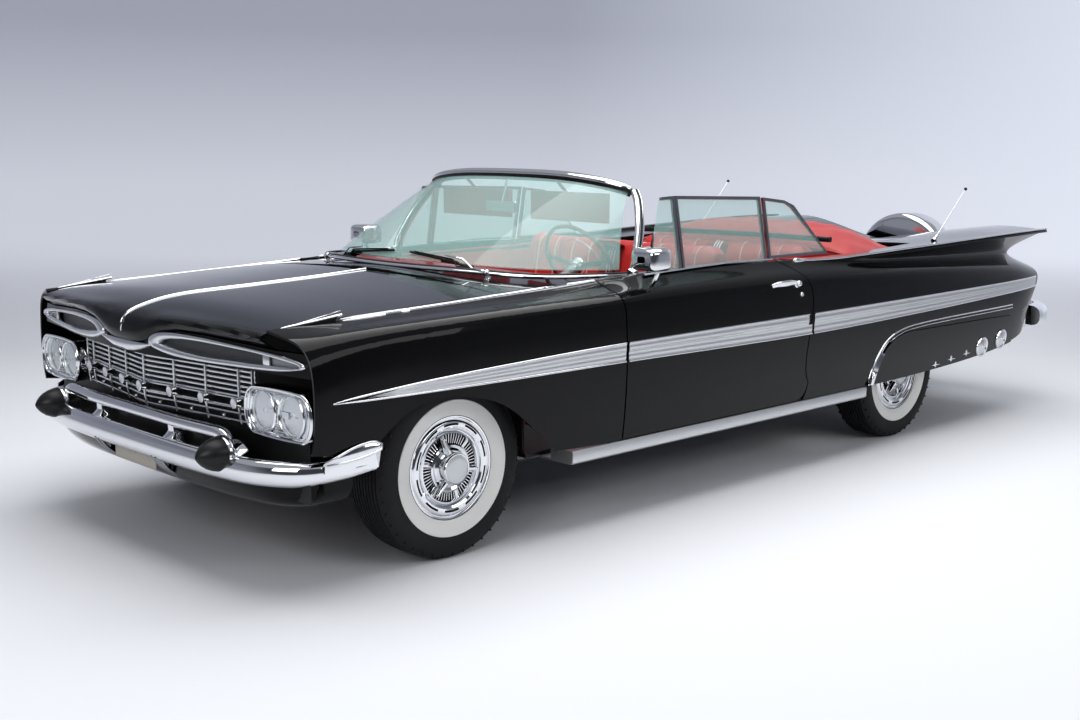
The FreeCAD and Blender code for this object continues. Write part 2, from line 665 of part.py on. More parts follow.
def frame():
    """Crossed frame: two rails that close in on the middle and open out again."""
    mid = (RAIL_LOW + RAIL_HIGH) / 2
    depth = RAIL_HIGH - RAIL_LOW
    over = TYRE_RADIUS + 140
    run = ((650, RAIL_Y, mid), (-260, RAIL_Y, mid), (-1050, 150, mid), (-1750, 150, mid),
           (KICK_X - 40, REAR_RAIL_Y - 5, mid), (REAR_AXLE + 330, REAR_RAIL_Y, over),
           (REAR_AXLE - 420, REAR_RAIL_Y, over), (REAR_AXLE - 640, REAR_RAIL_Y, over - 60),
           (REAR_AXLE - 1080, REAR_RAIL_Y, over - 60))
    pieces = []
    for s in (-1, 1):
        nodes = [(x, s * y, z) for x, y, z in run]
        for a, b in zip(nodes, nodes[1:]):
            pieces.append(beam(a, b, RAIL_WIDTH, depth))
        for x, y, z in nodes[1:-1]:
            pieces.append(Part.makeCylinder(RAIL_WIDTH / 2 + 2, depth, Vector(x, y, z - depth / 2)))
    for x, half, z in ((600, RAIL_Y, mid), (-1400, 190, mid), (KICK_X - 40, REAR_RAIL_Y, mid),
                       (REAR_AXLE - 1050, REAR_RAIL_Y, over - 60), (REAR_AXLE + 240, REAR_RAIL_Y, over)):
        pieces.append(box(x - 35, x + 35, -half, half, z - 40, z + 40))
    return fuse(pieces)


def engine():
    """Engine and gearbox as one plain mass at its real place."""
    block = box(330, -330, -270, 270, 345, 800)
    gearbox = rod((-330, 0, DRIVE_Z), (GEARBOX_END, 0, DRIVE_Z), GEARBOX_RADIUS)
    feet = [box(60, -60, s * 200, s * (RAIL_Y + 10), RAIL_HIGH + FIT, 360) for s in (-1, 1)]
    return fuse([block, gearbox] + feet)


GEARBOX_RADIUS = 105.0
GEARBOX_END, DRIVE_Z = -1010.0, 402.0
SHAFT_RADIUS = 38.0
SHAFT_CLEAR = 1.6


def driveshaft():
    return rod((GEARBOX_END - SHAFT_CLEAR, 0, DRIVE_Z), (REAR_AXLE + 190 + SHAFT_CLEAR, 0, TYRE_RADIUS), SHAFT_RADIUS)


SILENCER = (-1180.0, -1650.0)


def exhaust():
    """Left pipe with its silencer: under the rails, over the axle and out behind the wheel."""
    pipe = 22.0
    low = RAIL_LOW - 36
    can_front, can_rear = SILENCER
    run = ((-150, 245, 345 - FIT), (-150, 245, 300), (-250, 245, low), (can_front + 180, 330, low),
           (can_front + 50, 330, 205), (can_rear - 50, 330, 205),
           (can_rear - 170, 330, low), (KICK_X - 80, 300, low), (REAR_AXLE + 300, 300, 235), (REAR_AXLE + 130, 300, 440),
           (REAR_AXLE - 240, 300, 440), (REAR_AXLE - 440, 410, 308), (REAR_AXLE - 600, 600, 308),
           (REAR_AXLE - 1180, 640, 308))
    pieces = [rod(a, b, pipe) for a, b in zip(run, run[1:])]
    pieces += [Part.makeSphere(pipe, vec(p)) for p in run[1:-1]]
    pieces.append(rod((can_front, 330, 205), (can_rear, 330, 205), 72))
    return fuse(pieces)


def fuel_tank():
    tank = box(REAR_AXLE - 520, REAR_AXLE - 1010, -340, 340, 330, TRUNK_Z - FIT)
    edges = [e for e in tank.Edges]
    return tank.makeFillet(30, edges)


FLOOR_Z = 300.0
FLOOR_THICK = 16.0
TRUNK_Z = 560.0
FIREWALL_X = -415.0
BULKHEAD_X = REAR_AXLE + 323.0
CABIN_HALF = HALF_WIDTH - 214.0
TRUNK_HALF = 590.0
APRON_Y = 468.0


TUNNEL_HALF, TUNNEL_TOP = 165.0, 535.0
SEAT_DECK_Z = 545.0
TRIM_INNER = CABIN_HALF - 60.0
TRUNK_END = TAIL_X + 240.0
COLUMN_RADIUS = 27.0


def floor():
    """Cabin floor with tunnel, firewall, rear seat step, trunk floor and wheel housings."""
    wall = 12.0
    pieces = [box(FIREWALL_X, KICK_X, -CABIN_HALF, CABIN_HALF, FLOOR_Z, FLOOR_Z + FLOOR_THICK),
              box(FIREWALL_X, FIREWALL_X - wall, -CABIN_HALF + 20, CABIN_HALF - 20, FLOOR_Z, 905),
              box(KICK_X, KICK_X - wall, -TRIM_INNER + FIT, TRIM_INNER - FIT, FLOOR_Z, SEAT_DECK_Z + wall),
              box(KICK_X, BULKHEAD_X, -TRUNK_HALF, TRUNK_HALF, SEAT_DECK_Z, SEAT_DECK_Z + wall),
              box(BULKHEAD_X, BULKHEAD_X - wall, -TRUNK_HALF, TRUNK_HALF, SEAT_DECK_Z, 900),
              box(BULKHEAD_X, TRUNK_END, -TRUNK_HALF, TRUNK_HALF, TRUNK_Z, TRUNK_Z + wall),
              box(FIREWALL_X, KICK_X, -TUNNEL_HALF, TUNNEL_HALF, FLOOR_Z, TUNNEL_TOP)]
    arch_front, arch_rear = REAR_AXLE + 420, REAR_AXLE - 420
    for s in (-1, 1):
        inner, outer = s * (TRUNK_HALF - wall), s * (HALF_WIDTH - 50)
        pieces.append(box(KICK_X, TRUNK_END, inner, s * TRUNK_HALF, TRUNK_Z - 140, 905))
        pieces.append(box(arch_front, arch_rear, inner, outer, 740, 740 + wall))
        pieces.append(box(arch_front, arch_front + wall, inner, outer, FLOOR_Z + 60, 740 + wall))
        pieces.append(box(arch_rear, arch_rear - wall, inner, outer, 430, 740 + wall))
        pieces.append(box(FIREWALL_X, 600, s * APRON_Y, s * (APRON_Y - 10), 480, 880))
    hollow = box(FIREWALL_X + 20, KICK_X - 40, -TUNNEL_HALF + 15, TUNNEL_HALF - 15, FLOOR_Z - 5, TUNNEL_TOP - 15)
    return fuse(pieces).cut(hollow).cut(rod(COLUMN_LOW, COLUMN_HIGH, COLUMN_RADIUS + FIT))


def radiator():
    core = box(560, 590, -300, 300, 300, 840)
    top = box(552, 598, -310, 310, 800, 846)
    support = box(562, 588, -APRON_Y + 10 + FIT, APRON_Y - 10 - FIT, 420, 480)
    feet = [box(565, 625, s * RAIL_Y - 30, s * RAIL_Y + 30, RAIL_HIGH + FIT, 430) for s in (-1, 1)]
    return fuse([core, top, support] + feet)


ROCKER_LOW, ROCKER_TOP = 291.0, SILL_Z - 5.0


def rocker():
    """Left sill under the door, with its bright strip's face."""
    inner = CABIN_HALF + 64
    profile = [(inner, FLOOR_Z), (inner, ROCKER_TOP), (HALF_WIDTH - 32, ROCKER_TOP),
               (HALF_WIDTH - 28, ROCKER_TOP - 8), (HALF_WIDTH - 30, ROCKER_LOW + 8), (HALF_WIDTH - 40, ROCKER_LOW),
               (CABIN_HALF + FIT, ROCKER_LOW), (CABIN_HALF + FIT, FLOOR_Z)]
    return front_outline(profile, -490, REAR_AXLE + 515)


SKIRT_LAP = 14.0
SKIRT_THICK = 9.0


def skirt():
    """Rear wheel skirt, lapped over the opening of the quarter."""
    return patch(SIDE_SURFACE, -SKIRT_THICK - FIT, -FIT).common(skirt_prism(SKIRT_LAP))


# ---------------------------------------------------------------- bright work
BUMPER_LOW = ((838, 0), (836, 300), (822, 560), (782, HALF_WIDTH - 254), (690, HALF_WIDTH - 114),
              (560, HALF_WIDTH - 46), (436, HALF_WIDTH - 29))
BUMPER_HIGH = ((800, 0), (798, 300), (786, 520), (760, 660))
BULLET_Y, BULLET_Z = 609.0, 481.0


def front_bumper():
    """Wrapped main bar, raised centre bar, the two bullets and the plate bracket."""
    main = band(BUMPER_LOW, 46, 398, 478)
    high = band(BUMPER_HIGH, 50, 515, 562)
    low = band(((820, 0), (812, 300), (790, 620)), 40, 352, 385)
    pieces = [main, high, low]
    profile = [(0, 0), (62, 0), (60, 30), (52, 60), (38, 92), (20, 112), (0, 118)]
    for s in (-1, 1):
        ring = [Vector(FRONT_OVERHANG - 118 + a, 0, r) for r, a in profile]
        cone = Part.Face(Part.makePolygon(ring + ring[:1])).revolve(Vector(0, 0, 0), Vector(1, 0, 0), 360)
        cone.translate(Vector(0, s * BULLET_Y, BULLET_Z))
        pieces.append(cone)
        pieces.append(rod((735, s * BULLET_Y, BULLET_Z), (FRONT_OVERHANG - 110, s * BULLET_Y, BULLET_Z), 58))
        pieces.append(box(655, 800, s * RAIL_Y - 20, s * RAIL_Y + 20, 372, 470))
        pieces.append(box(650 + FIT, 690, s * RAIL_Y - 34, s * RAIL_Y + 34, 200, 400))
    plate = box(838, 850, -165, 165, 385, 470)
    holes = [rod((700, s * PLATE_HOLES / 2, 440), (900, s * PLATE_HOLES / 2, 440), PLATE_BORE) for s in (-1, 1)]
    body = fuse(pieces + [plate])
    for hole in holes:
        body = body.cut(hole)
    return body


PLATE_HOLES = 178.0
PLATE_BORE = 3.5


REAR_BUMPER = ((0, 0), (2, 400), (22, HALF_WIDTH - 364), (90, HALF_WIDTH - 194), (230, HALF_WIDTH - 89),
               (430, HALF_WIDTH - 36))


def rear_bumper():
    """Wrapped bar, carried back far enough to make room for the outside spare."""
    x_rear = REAR_AXLE - REAR_OVERHANG
    curve = [(-(x_rear + x), y) for x, y in REAR_BUMPER]
    bar = band(curve, 44, 462, 602)
    bar.rotate(Vector(0, 0, 0), Vector(0, 0, 1), 180)
    pieces = [bar]
    for s in (-1, 1):
        pieces.append(box(x_rear + 40, TAIL_X + 40, s * 475 - 25, s * 475 + 25, 400, 470))
    shelf = box(x_rear + 30, TAIL_X + 118, -640, 640, 440, 462)
    body = fuse(pieces + [shelf])
    for s in (-1, 1):
        body = body.cut(rod((x_rear - 60, s * PLATE_HOLES / 2, 530), (x_rear + 120, s * PLATE_HOLES / 2, 530),
                            PLATE_BORE))
    return body


GRILLE_HALF, GRILLE_LOW, GRILLE_HIGH = 598.0, 545.0, 716.0
GRILLE_BARS, GRILLE_POSTS = 7, 9
GRILLE_X = 700.0


def grille():
    """Level bars and upright dividers in a frame, with a row of studs at mid height."""
    depth = 26
    rim = box(GRILLE_X - depth, GRILLE_X, -GRILLE_HALF, GRILLE_HALF, GRILLE_LOW, GRILLE_HIGH).cut(
        box(GRILLE_X - 60, GRILLE_X + 20, -GRILLE_HALF + 12, GRILLE_HALF - 12, GRILLE_LOW + 10, GRILLE_HIGH - 10))
    pieces = [rim]
    pitch = (GRILLE_HIGH - GRILLE_LOW) / (GRILLE_BARS + 1)
    for k in range(1, GRILLE_BARS + 1):
        z = GRILLE_LOW + pitch * k
        pieces.append(box(GRILLE_X - 20, GRILLE_X - 4, -GRILLE_HALF + 6, GRILLE_HALF - 6, z - 4, z + 4))
    step = 2 * GRILLE_HALF / (GRILLE_POSTS + 1)
    for k in range(1, GRILLE_POSTS + 1):
        y = -GRILLE_HALF + step * k
        pieces.append(box(GRILLE_X - 24, GRILLE_X - 1, y - 5, y + 5, GRILLE_LOW + 5, GRILLE_HIGH - 5))
        z = GRILLE_LOW + pitch * 4
        pieces.append(Part.makeCone(16, 5, 30, Vector(GRILLE_X - 8, y, z), Vector(1, 0, 0)))
    return fuse(pieces)


LAMPS = ((704, 714, 629), (696, 871, 631))
LAMP_RADIUS = 73.0
BEZEL = (612.0, HALF_WIDTH - 29.0, 540.0, 718.0)


def headlamps():
    """Left pair of lamps in their oval housing."""
    y0, y1, z0, z1 = BEZEL
    r = (z1 - z0) / 2
    zc = (z0 + z1) / 2
    oval = box(628, 706, y0 + r, y1 - r, z0, z1)
    for y in (y0 + r, y1 - r):
        oval = oval.fuse(rod((628, y, zc), (706, y, zc), r))
    oval = oval.removeSplitter()
    for x, y, z in LAMPS:
        oval = oval.cut(rod((x - 26, y, z), (x + 40, y, z), LAMP_RADIUS + 3))
    lamps = []
    for x, y, z in LAMPS:
        lens = Part.makeSphere(150, Vector(x - 132, y, z)).common(rod((x - 26, y, z), (x + 40, y, z), LAMP_RADIUS + 3))
        lamps.append(lens)
    return fuse([oval] + lamps)


# ---------------------------------------------------------------- tail
TAIL_COLUMNS = (-1.0, -0.92, -0.6, -0.3, 0.0, 0.3, 0.6, 0.92, 1.0)
TAIL_TOP = {0.0: 896.0, 0.3: 926.0, 0.6: 980.0, 0.92: 1000.0}
TAIL_BOW = (20, 20, 18, 14, 12, 8, 4, 0)      # rearward bow of each row at the centre
TAIL_THICK = 14.0


def tail_surface():
    """Rear wall: each row starts from the end of the same row of the side and bows rearward."""
    net = []
    for row, bow in zip(SIDE_NET[:-1], TAIL_BOW):
        end = row[-1]
        top = row is SIDE_NET[-2]
        line = []
        for share in TAIL_COLUMNS:
            z = TAIL_TOP.get(abs(share), end.z) if top else end.z
            line.append(Vector(end.x + 6 - bow * (1 - share * share), (end.y - SKIN - 3) * share, z))
        net.append(line)
    return net_surface(net)


def tail_panel():
    outer = tail_surface()
    inner = [[p + Vector(TAIL_THICK, 0, 0) for p in row] for row in outer.getPoles()]
    side = patch(SIDE_SURFACE, -FIT, SKIN + FIT)
    panel = surface_slab(outer, inner).cut(side).cut(mirrored(side))
    return max(panel.Solids, key=lambda s: s.Volume)


LAMP_OUTLINE = ((350, 868), (420, 905), (560, 912), (700, 895), (770, 876), (700, 848), (560, 832), (420, 838))
LAMP_PROUD = 24.0


def tail_lamps():
    """Left tear-drop lamp under the wing, standing proud of the rear wall."""
    outer = tail_surface()
    poles = outer.getPoles()
    back = [[p - Vector(FIT, 0, 0) for p in row] for row in poles]
    for i, row in enumerate(poles):
        for j, p in enumerate(row):
            outer.setPole(i + 1, j + 1, p - Vector(LAMP_PROUD, 0, 0))
    return surface_slab(outer, back).common(front_outline(LAMP_OUTLINE, TAIL_X - 100, TAIL_X + 260))


SPARE_X = REAR_AXLE - 1430.0
SPARE_Z = 742.0
SPARE_RADIUS = 331.0


def spare_wheel():
    """Outside spare in its round cover."""
    r = SPARE_RADIUS
    profile = [(0, -70), (r - 62, -82), (r - 50, -92), (r - 12, -88), (r, -60), (r, 60), (r - 12, 88),
               (r - 50, 92), (r - 62, 82), (0, 70)]
    ring = [Vector(o, 0, q) for q, o in profile]
    cover = Part.Face(Part.makePolygon(ring + ring[:1])).revolve(Vector(0, 0, 0), Vector(1, 0, 0), 360)
    cover.translate(Vector(SPARE_X, 0, SPARE_Z))
    return cover.cut(box(SPARE_X - 300, SPARE_X + 300, -400, 400, 0, 462 + FIT))


# ---------------------------------------------------------------- cabin
def cushion(x0, x1, half, z0, z1, lean=0.0, radius=30.0):
    pad = box(x0, x1, -half, half, z0, z1)
    pad = pad.makeFillet(radius, pad.Edges)
    if lean:
        pad.rotate(Vector(max(x0, x1), 0, z0), Vector(0, 1, 0), -lean)
    return pad


SEAT_HALF = 640.0


SEAT_X = -1250.0


def front_seat():
    x = SEAT_X
    base = box(x - 40, x - 490, -SEAT_HALF + 40, SEAT_HALF - 40, FLOOR_Z + FLOOR_THICK + 225, 560)
    pad = cushion(x, x - 510, SEAT_HALF, 545, 690, 0, 45)
    back = cushion(x - 450, x - 580, SEAT_HALF, 600, BELT_Z + 100, 9, 45)
    feet = [box(x - 80, x - 450, s * (SEAT_HALF - 120) - 25, s * (SEAT_HALF - 120) + 25,
                FLOOR_Z + FLOOR_THICK + FIT, 560) for s in (-1, 1)]
    return fuse([base, pad, back] + feet)


REAR_SEAT_X = REAR_AXLE + 840.0


def rear_seat():
    x = REAR_SEAT_X
    deck = SEAT_DECK_Z + 12 + FIT
    pad = cushion(x, x - 480, 560, deck, 680, 0, 45)
    back = cushion(x - 330, x - 450, 565, 600, 1030, 8, 45)
    legs = [box(x - 60, x - 180, s * 400 - 40, s * 400 + 40, FLOOR_Z + FLOOR_THICK + FIT, 620) for s in (-1, 1)]
    return fuse([pad, back] + legs)


def side_trims():
    """Left inner panel beside the rear seat."""
    return box(DOOR_REAR - 12, KICK_X - 150, TRIM_INNER, CABIN_HALF - 12 - FIT, FLOOR_Z + FLOOR_THICK + FIT, 952)


def dashboard():
    profile = [(-470, 940), (-560, 985), (-690, 985), (DASH_REAR, 950), (DASH_REAR, 900), (-770, 820), (-740, 700),
               (-715, 700), (-715, 800), (-640, 850), (-470, 850)]
    inside = [(x - 3, y * (1 - 3 / COWL_HALF)) for x, y in COWL_EDGE]
    inside[-1] = (-1100, inside[-1][1])
    inside = inside + [(x, -y) for x, y in reversed(inside)][:-1]
    top = side_outline(profile, -740, 740).common(plan_outline(inside, 600, 1100))
    return top.cut(screen_seat()).cut(rod(COLUMN_LOW, COLUMN_HIGH, COLUMN_RADIUS + FIT))


def steering_column():
    low, high = vec(COLUMN_LOW), vec(COLUMN_HIGH)
    along = (high - low).normalize()
    end = high - along * 52
    return rod(low, end, COLUMN_RADIUS)


WHEEL_RING = 203.0


def steering_wheel():
    """Ring, three spokes and the hub, on the column's axis."""
    ring = Part.makeTorus(WHEEL_RING, 12)
    hub = Part.makeCylinder(34, 46, Vector(0, 0, -46))
    pieces = [ring, hub]
    for turn in (90, 210, 330):
        a = math.radians(turn)
        tip = (WHEEL_RING * math.cos(a), WHEEL_RING * math.sin(a), 0)
        pieces.append(beam((0, 0, -22), tip, 22, 10))
    wheel_solid = fuse(pieces)
    along = (vec(COLUMN_HIGH) - vec(COLUMN_LOW)).normalize()
    turn = FreeCAD.Rotation(Vector(0, 0, 1), along)
    wheel_solid.Placement = FreeCAD.Placement(vec(COLUMN_HIGH), turn)
    return wheel_solid


def top_boot():
    """Soft cover over the folded top, as one domed solid."""
    x0, x1 = BULKHEAD_X - 18, WELL_REAR + 4
    half = WELL_HALF - 6
    xs = [x0 + (x1 - x0) * share for share in (0, 0.05, 0.26, 0.52, 0.78, 0.95, 1)]
    dome = (1010, 1050, 1100, 1108, 1070, 1010, 985)
    outer = []
    for share in (-1, -0.94, -0.6, 0, 0.6, 0.94, 1):
        fade = 1 - abs(share) ** 3
        outer.append([Vector(x, half * share, 975 + (z - 975) * fade) for x, z in zip(xs, dome)])
    inner = [[Vector(p.x, p.y, 925) for p in row] for row in outer]
    return slab(outer, inner)


ANTENNA_Y = HALF_WIDTH - 216.0
ANTENNA_FOOT, ANTENNA_HEAD, ANTENNA_TIP = REAR_AXLE - 376.0, REAR_AXLE - 400.0, REAR_AXLE - 643.0


def antennas():
    """Left mast on its foot, leaned rearward, with the ball at its tip."""
    foot = rod((ANTENNA_FOOT, ANTENNA_Y, 998), (ANTENNA_HEAD, ANTENNA_Y + 1, 1040), 11)
    mast = rod((ANTENNA_HEAD + 2, ANTENNA_Y + 1, 1038), (ANTENNA_TIP, ANTENNA_Y + 12, 1262), 2.6)
    ball = Part.makeSphere(9, Vector(ANTENNA_TIP, ANTENNA_Y + 12, 1262))
    return fuse([foot, mast, ball])


def visors():
    """Sun visors and the inside mirror, hung from the header."""
    pieces = []
    for s in (-1, 1):
        pad = box(-1152, -1134, s * 70, s * 540, 1165, 1292)
        pin = rod((-1143, s * 300, 1280), (-1062, s * 300, 1350), 7)
        pieces.append(fuse([pad, pin]).cut(header_seat()))
    return pieces


def door_mirror():
    head = box(-960, -1010, HALF_WIDTH - 100, HALF_WIDTH - 20, 1010, 1090)
    post = rod((-975, HALF_WIDTH - 70, 935), (-985, HALF_WIDTH - 60, 1020), 9)
    return fuse([head.makeFillet(12, head.Edges), post])


def inside_mirror():
    glass = box(-1010, -1028, -95, 95, 1195, 1245)
    stem = rod((-1020, 0, 1230), (-1062, 0, 1362), 6).cut(header_seat())
    return fuse([glass.makeFillet(6, glass.Edges), stem])


# ---------------------------------------------------------------- export
def collect():
    """Every part by its name."""
    fender, quarter = side_panels()
    fin, strip, lid = deck_slabs()
    frame_glass, screen = windscreen()
    quarter_frame, quarter_pane = side_glass(QUARTER)
    vent_frame, vent_pane = side_glass(VENT)
    drop_frame, drop_pane = side_glass(DROP)
    door = door_shell()
    slot = leaned(box(GLASS_FRONT + 12, GLASS_REAR - GLASS_GAP, GLASS_Y - 9, GLASS_Y + 9, GLASS_FOOT - 4, 1100))
    door = door.cut(slot)
    lifted = door.copy()
    lifted.translate(Vector(0, 0, FIT))
    mirror_head = door_mirror().cut(lifted)
    rear_side = fuse([quarter, fin])
    rear_slot = box(QUARTER_FRONT + GLASS_GAP, QUARTER[-1][0] - 10, GLASS_Y - 9, GLASS_Y + 9, 975, 1300)
    rear_side = rear_side.cut(leaned(rear_slot))
    seat = rear_side.copy()
    seat.translate(Vector(0, 0, FIT))
    parts = {
        "frame": frame(),
        "front_suspension": front_suspension(),
        "rear_axle": rear_axle(),
        "engine": engine(),
        "driveshaft": driveshaft(),
        "exhaust": both_sides(exhaust()),
        "fuel_tank": fuel_tank(),
        "radiator": radiator(),
        "floor": floor(),
        "front_fenders": both_sides(fender),
        "quarter_panels": both_sides(rear_side),
        "deck_strip": strip,
        "deck_lid": lid,
        "hood": hood_panel(),
        "nose_panel": nose_panel(),
        "cowl": cowl_panel(),
        "tail_panel": tail_panel(),
        "tail_lamps": both_sides(tail_lamps()),
        "rockers": both_sides(rocker()),
        "skirts": both_sides(skirt()),
        "windscreen_frame": frame_glass,
        "windscreen_glass": screen,
        "quarter_glass": both_sides(quarter_pane),
        "quarter_glass_frames": both_sides(quarter_frame),
        "front_bumper": front_bumper(),
        "rear_bumper": rear_bumper(),
        "grille": grille(),
        "headlamps": both_sides(headlamps()),
        "spare_wheel": spare_wheel(),
        "front_seat": front_seat(),
        "rear_seat": rear_seat(),
        "side_trims": both_sides(side_trims()),
        "dashboard": dashboard(),
        "steering_column": steering_column(),
        "steering_wheel": steering_wheel(),
        "top_boot": top_boot(),
        "antennas": both_sides(antennas().cut(seat)),
        "sun_visors": Part.makeCompound(visors()),
        "inside_mirror": inside_mirror(),
    }
    for name, y in (("left", 1), ("right", -1)):
        side = (lambda s: s) if y > 0 else mirrored
        parts["door_" + name] = side(door)
        parts["door_glass_" + name] = side(Part.makeCompound([vent_pane, drop_pane]))
        parts["door_frame_" + name] = side(fuse([vent_frame, drop_frame]))
        parts["door_mirror_" + name] = side(mirror_head)
        parts["knuckle_" + name] = side(knuckle())
    for corner, x, y in (("front_left", 0, FRONT_Y), ("rear_left", REAR_AXLE, REAR_Y)):
        for piece, make in (("tyre_", tyre), ("wheel_", wheel)):
            parts[piece + corner] = make(x, y)
            parts[piece + corner.replace("left", "right")] = mirrored(make(x, y))
    return parts


def main():
    os.makedirs("parts", exist_ok=True)
    for name, shape in collect().items():
        shape = shape.copy()
        shape.translate(Vector(ORIGIN_SHIFT, 0, 0))
        shape.exportStep("parts/" + name + ".step")


if __name__ == "__main__":
    main()
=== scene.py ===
"""Dress of a long open two-door car with fins: paint, bright work, glass, wheels and a red cabin.

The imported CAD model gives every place. Lengths are written in millimetres and measured from the
front axle (x ahead of it, y to the car's left, z up), and at() turns them into the model's frame.
"""
import json
import logging
import math
from dataclasses import dataclass
from enum import Enum
from typing import Callable, Optional, Sequence

import bmesh
import bpy
from mathutils import Matrix, Vector
from mathutils.bvhtree import BVHTree

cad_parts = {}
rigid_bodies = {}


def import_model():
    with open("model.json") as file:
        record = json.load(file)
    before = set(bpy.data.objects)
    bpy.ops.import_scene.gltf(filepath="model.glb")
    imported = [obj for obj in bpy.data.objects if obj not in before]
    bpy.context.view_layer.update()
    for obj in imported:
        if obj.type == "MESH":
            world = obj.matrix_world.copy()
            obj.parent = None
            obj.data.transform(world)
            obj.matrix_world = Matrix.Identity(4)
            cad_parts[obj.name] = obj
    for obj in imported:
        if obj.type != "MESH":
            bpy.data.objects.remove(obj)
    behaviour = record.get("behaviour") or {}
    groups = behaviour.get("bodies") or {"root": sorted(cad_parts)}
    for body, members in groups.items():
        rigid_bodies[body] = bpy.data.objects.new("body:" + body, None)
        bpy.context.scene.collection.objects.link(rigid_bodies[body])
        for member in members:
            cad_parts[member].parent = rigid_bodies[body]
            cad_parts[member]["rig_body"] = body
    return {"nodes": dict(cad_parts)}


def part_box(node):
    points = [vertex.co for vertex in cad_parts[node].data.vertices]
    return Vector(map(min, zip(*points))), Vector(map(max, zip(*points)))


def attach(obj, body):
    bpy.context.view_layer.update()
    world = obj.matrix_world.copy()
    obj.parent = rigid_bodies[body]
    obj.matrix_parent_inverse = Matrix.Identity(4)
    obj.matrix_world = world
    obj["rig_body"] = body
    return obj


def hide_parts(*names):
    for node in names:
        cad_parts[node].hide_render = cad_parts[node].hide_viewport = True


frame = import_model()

LOG = logging.getLogger("car")
MM = 0.001
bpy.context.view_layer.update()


def middle(node: str) -> Vector:
    """Centre of a CAD node's box."""
    low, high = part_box(node)
    return (Vector(low) + Vector(high)) / 2


AXLE_X = middle("tyre_front_left").x


def at(x: float, y: float, z: float) -> Vector:
    """Point in the model's frame from millimetres counted from the front axle."""
    return Vector((AXLE_X + x * MM, y * MM, z * MM))


class Side(Enum):
    """Which side of the car a piece is on."""

    LEFT = 1
    RIGHT = -1

    @property
    def tag(self) -> str:
        """Ending of the names of this side's nodes and bodies."""
        return self.name.lower()


# ------------------------------------------------------------------ shader words
class Socket:
    """A value in a node tree that can be used in plain sums."""

    def __init__(self, tree: "Shader", link: bpy.types.NodeSocket) -> None:
        """Keeps the tree and the output that carries the value."""
        self.tree = tree
        self.link = link

    def _sum(self, operation: str, a: object, b: object) -> "Socket":
        """Adds a Math node for one sum of two values."""
        return self.tree.node("ShaderNodeMath", {"operation": operation}, {0: a, 1: b})

    def __add__(self, other: object) -> "Socket":
        """This plus another value."""
        return self._sum("ADD", self, other)

    __radd__ = __add__

    def __sub__(self, other: object) -> "Socket":
        """This less another value."""
        return self._sum("SUBTRACT", self, other)

    def __mul__(self, other: object) -> "Socket":
        """This times another value."""
        return self._sum("MULTIPLY", self, other)

    __rmul__ = __mul__

    def __truediv__(self, other: object) -> "Socket":
        """This over another value."""
        return self._sum("DIVIDE", self, other)

    def __pow__(self, other: object) -> "Socket":
        """This to a power."""
        return self._sum("POWER", self, other)

    def clamped(self) -> "Socket":
        """This value held between 0 and 1."""
        return self.tree.node("ShaderNodeClamp", {}, {0: self})


class Shader:
    """A material's node tree, built in words."""

    def __init__(self, name: str) -> None:
        """Starts an empty material of that name."""
        self.material = bpy.data.materials.new(name)
        self.material.use_nodes = True
        self.nodes = self.material.node_tree.nodes
        self.links = self.material.node_tree.links
        self.nodes.clear()

    def node(self, kind: str, settings: dict, values: dict, out: object = 0) -> Socket:
        """Adds a node and returns one of its outputs.

        Args:
            kind: the node's type.
            settings: properties set first; "stops" gives a ramp's (place, colour) pairs.
            values: what goes to its inputs, by name or number: plain values or sockets.
            out: name or number of the output that is returned.

        Returns:
            The chosen output.
        """
        made = self.nodes.new(kind)
        for key, value in settings.items():
            if key == "stops":
                ramp = made.color_ramp
                while len(ramp.elements) < len(value):
                    ramp.elements.new(0.5)
                for element, (place, shade) in zip(ramp.elements, value):
                    element.position = place
                    element.color = (*shade, 1.0) if len(shade) == 3 else shade
            else:
                setattr(made, key, value)
        for key, value in values.items():
            if isinstance(value, Socket):
                self.links.new(value.link, made.inputs[key])
            elif value is not None:
                made.inputs[key].default_value = value
        return Socket(self, made.outputs[out])

    def place(self, scale: Sequence[float] = (1, 1, 1)) -> Socket:
        """Object coordinates, stretched by a scale."""
        source = self.node("ShaderNodeTexCoord", {}, {}, "Object")
        return self.node("ShaderNodeMapping", {}, {"Vector": source, "Scale": scale})

    def noise(self, scale: float, stretch: Sequence[float] = (1, 1, 1), detail: float = 3.0) -> Socket:
        """Noise between 0 and 1 on the object's own coordinates."""
        return self.node("ShaderNodeTexNoise", {}, {"Vector": self.place(stretch), "Scale": scale,
                                                     "Detail": detail}, "Fac")

    def blend(self, factor: object, a: object, b: object) -> Socket:
        """Mix of two colours."""
        return self.node("ShaderNodeMix", {"data_type": "RGBA"}, {0: factor, 6: a, 7: b}, 2)

    def bump(self, height: Socket, strength: float, depth: float) -> Socket:
        """Normal that follows a height."""
        return self.node("ShaderNodeBump", {}, {"Strength": strength, "Distance": depth, "Height": height})

    def finish(self, shader: Socket) -> bpy.types.Material:
        """Ends the tree in the surface output."""
        self.links.new(shader.link, self.nodes.new("ShaderNodeOutputMaterial").inputs["Surface"])
        return self.material


def rgb(r: float, g: float, b: float) -> tuple[float, float, float, float]:
    """Opaque colour."""
    return (r, g, b, 1.0)


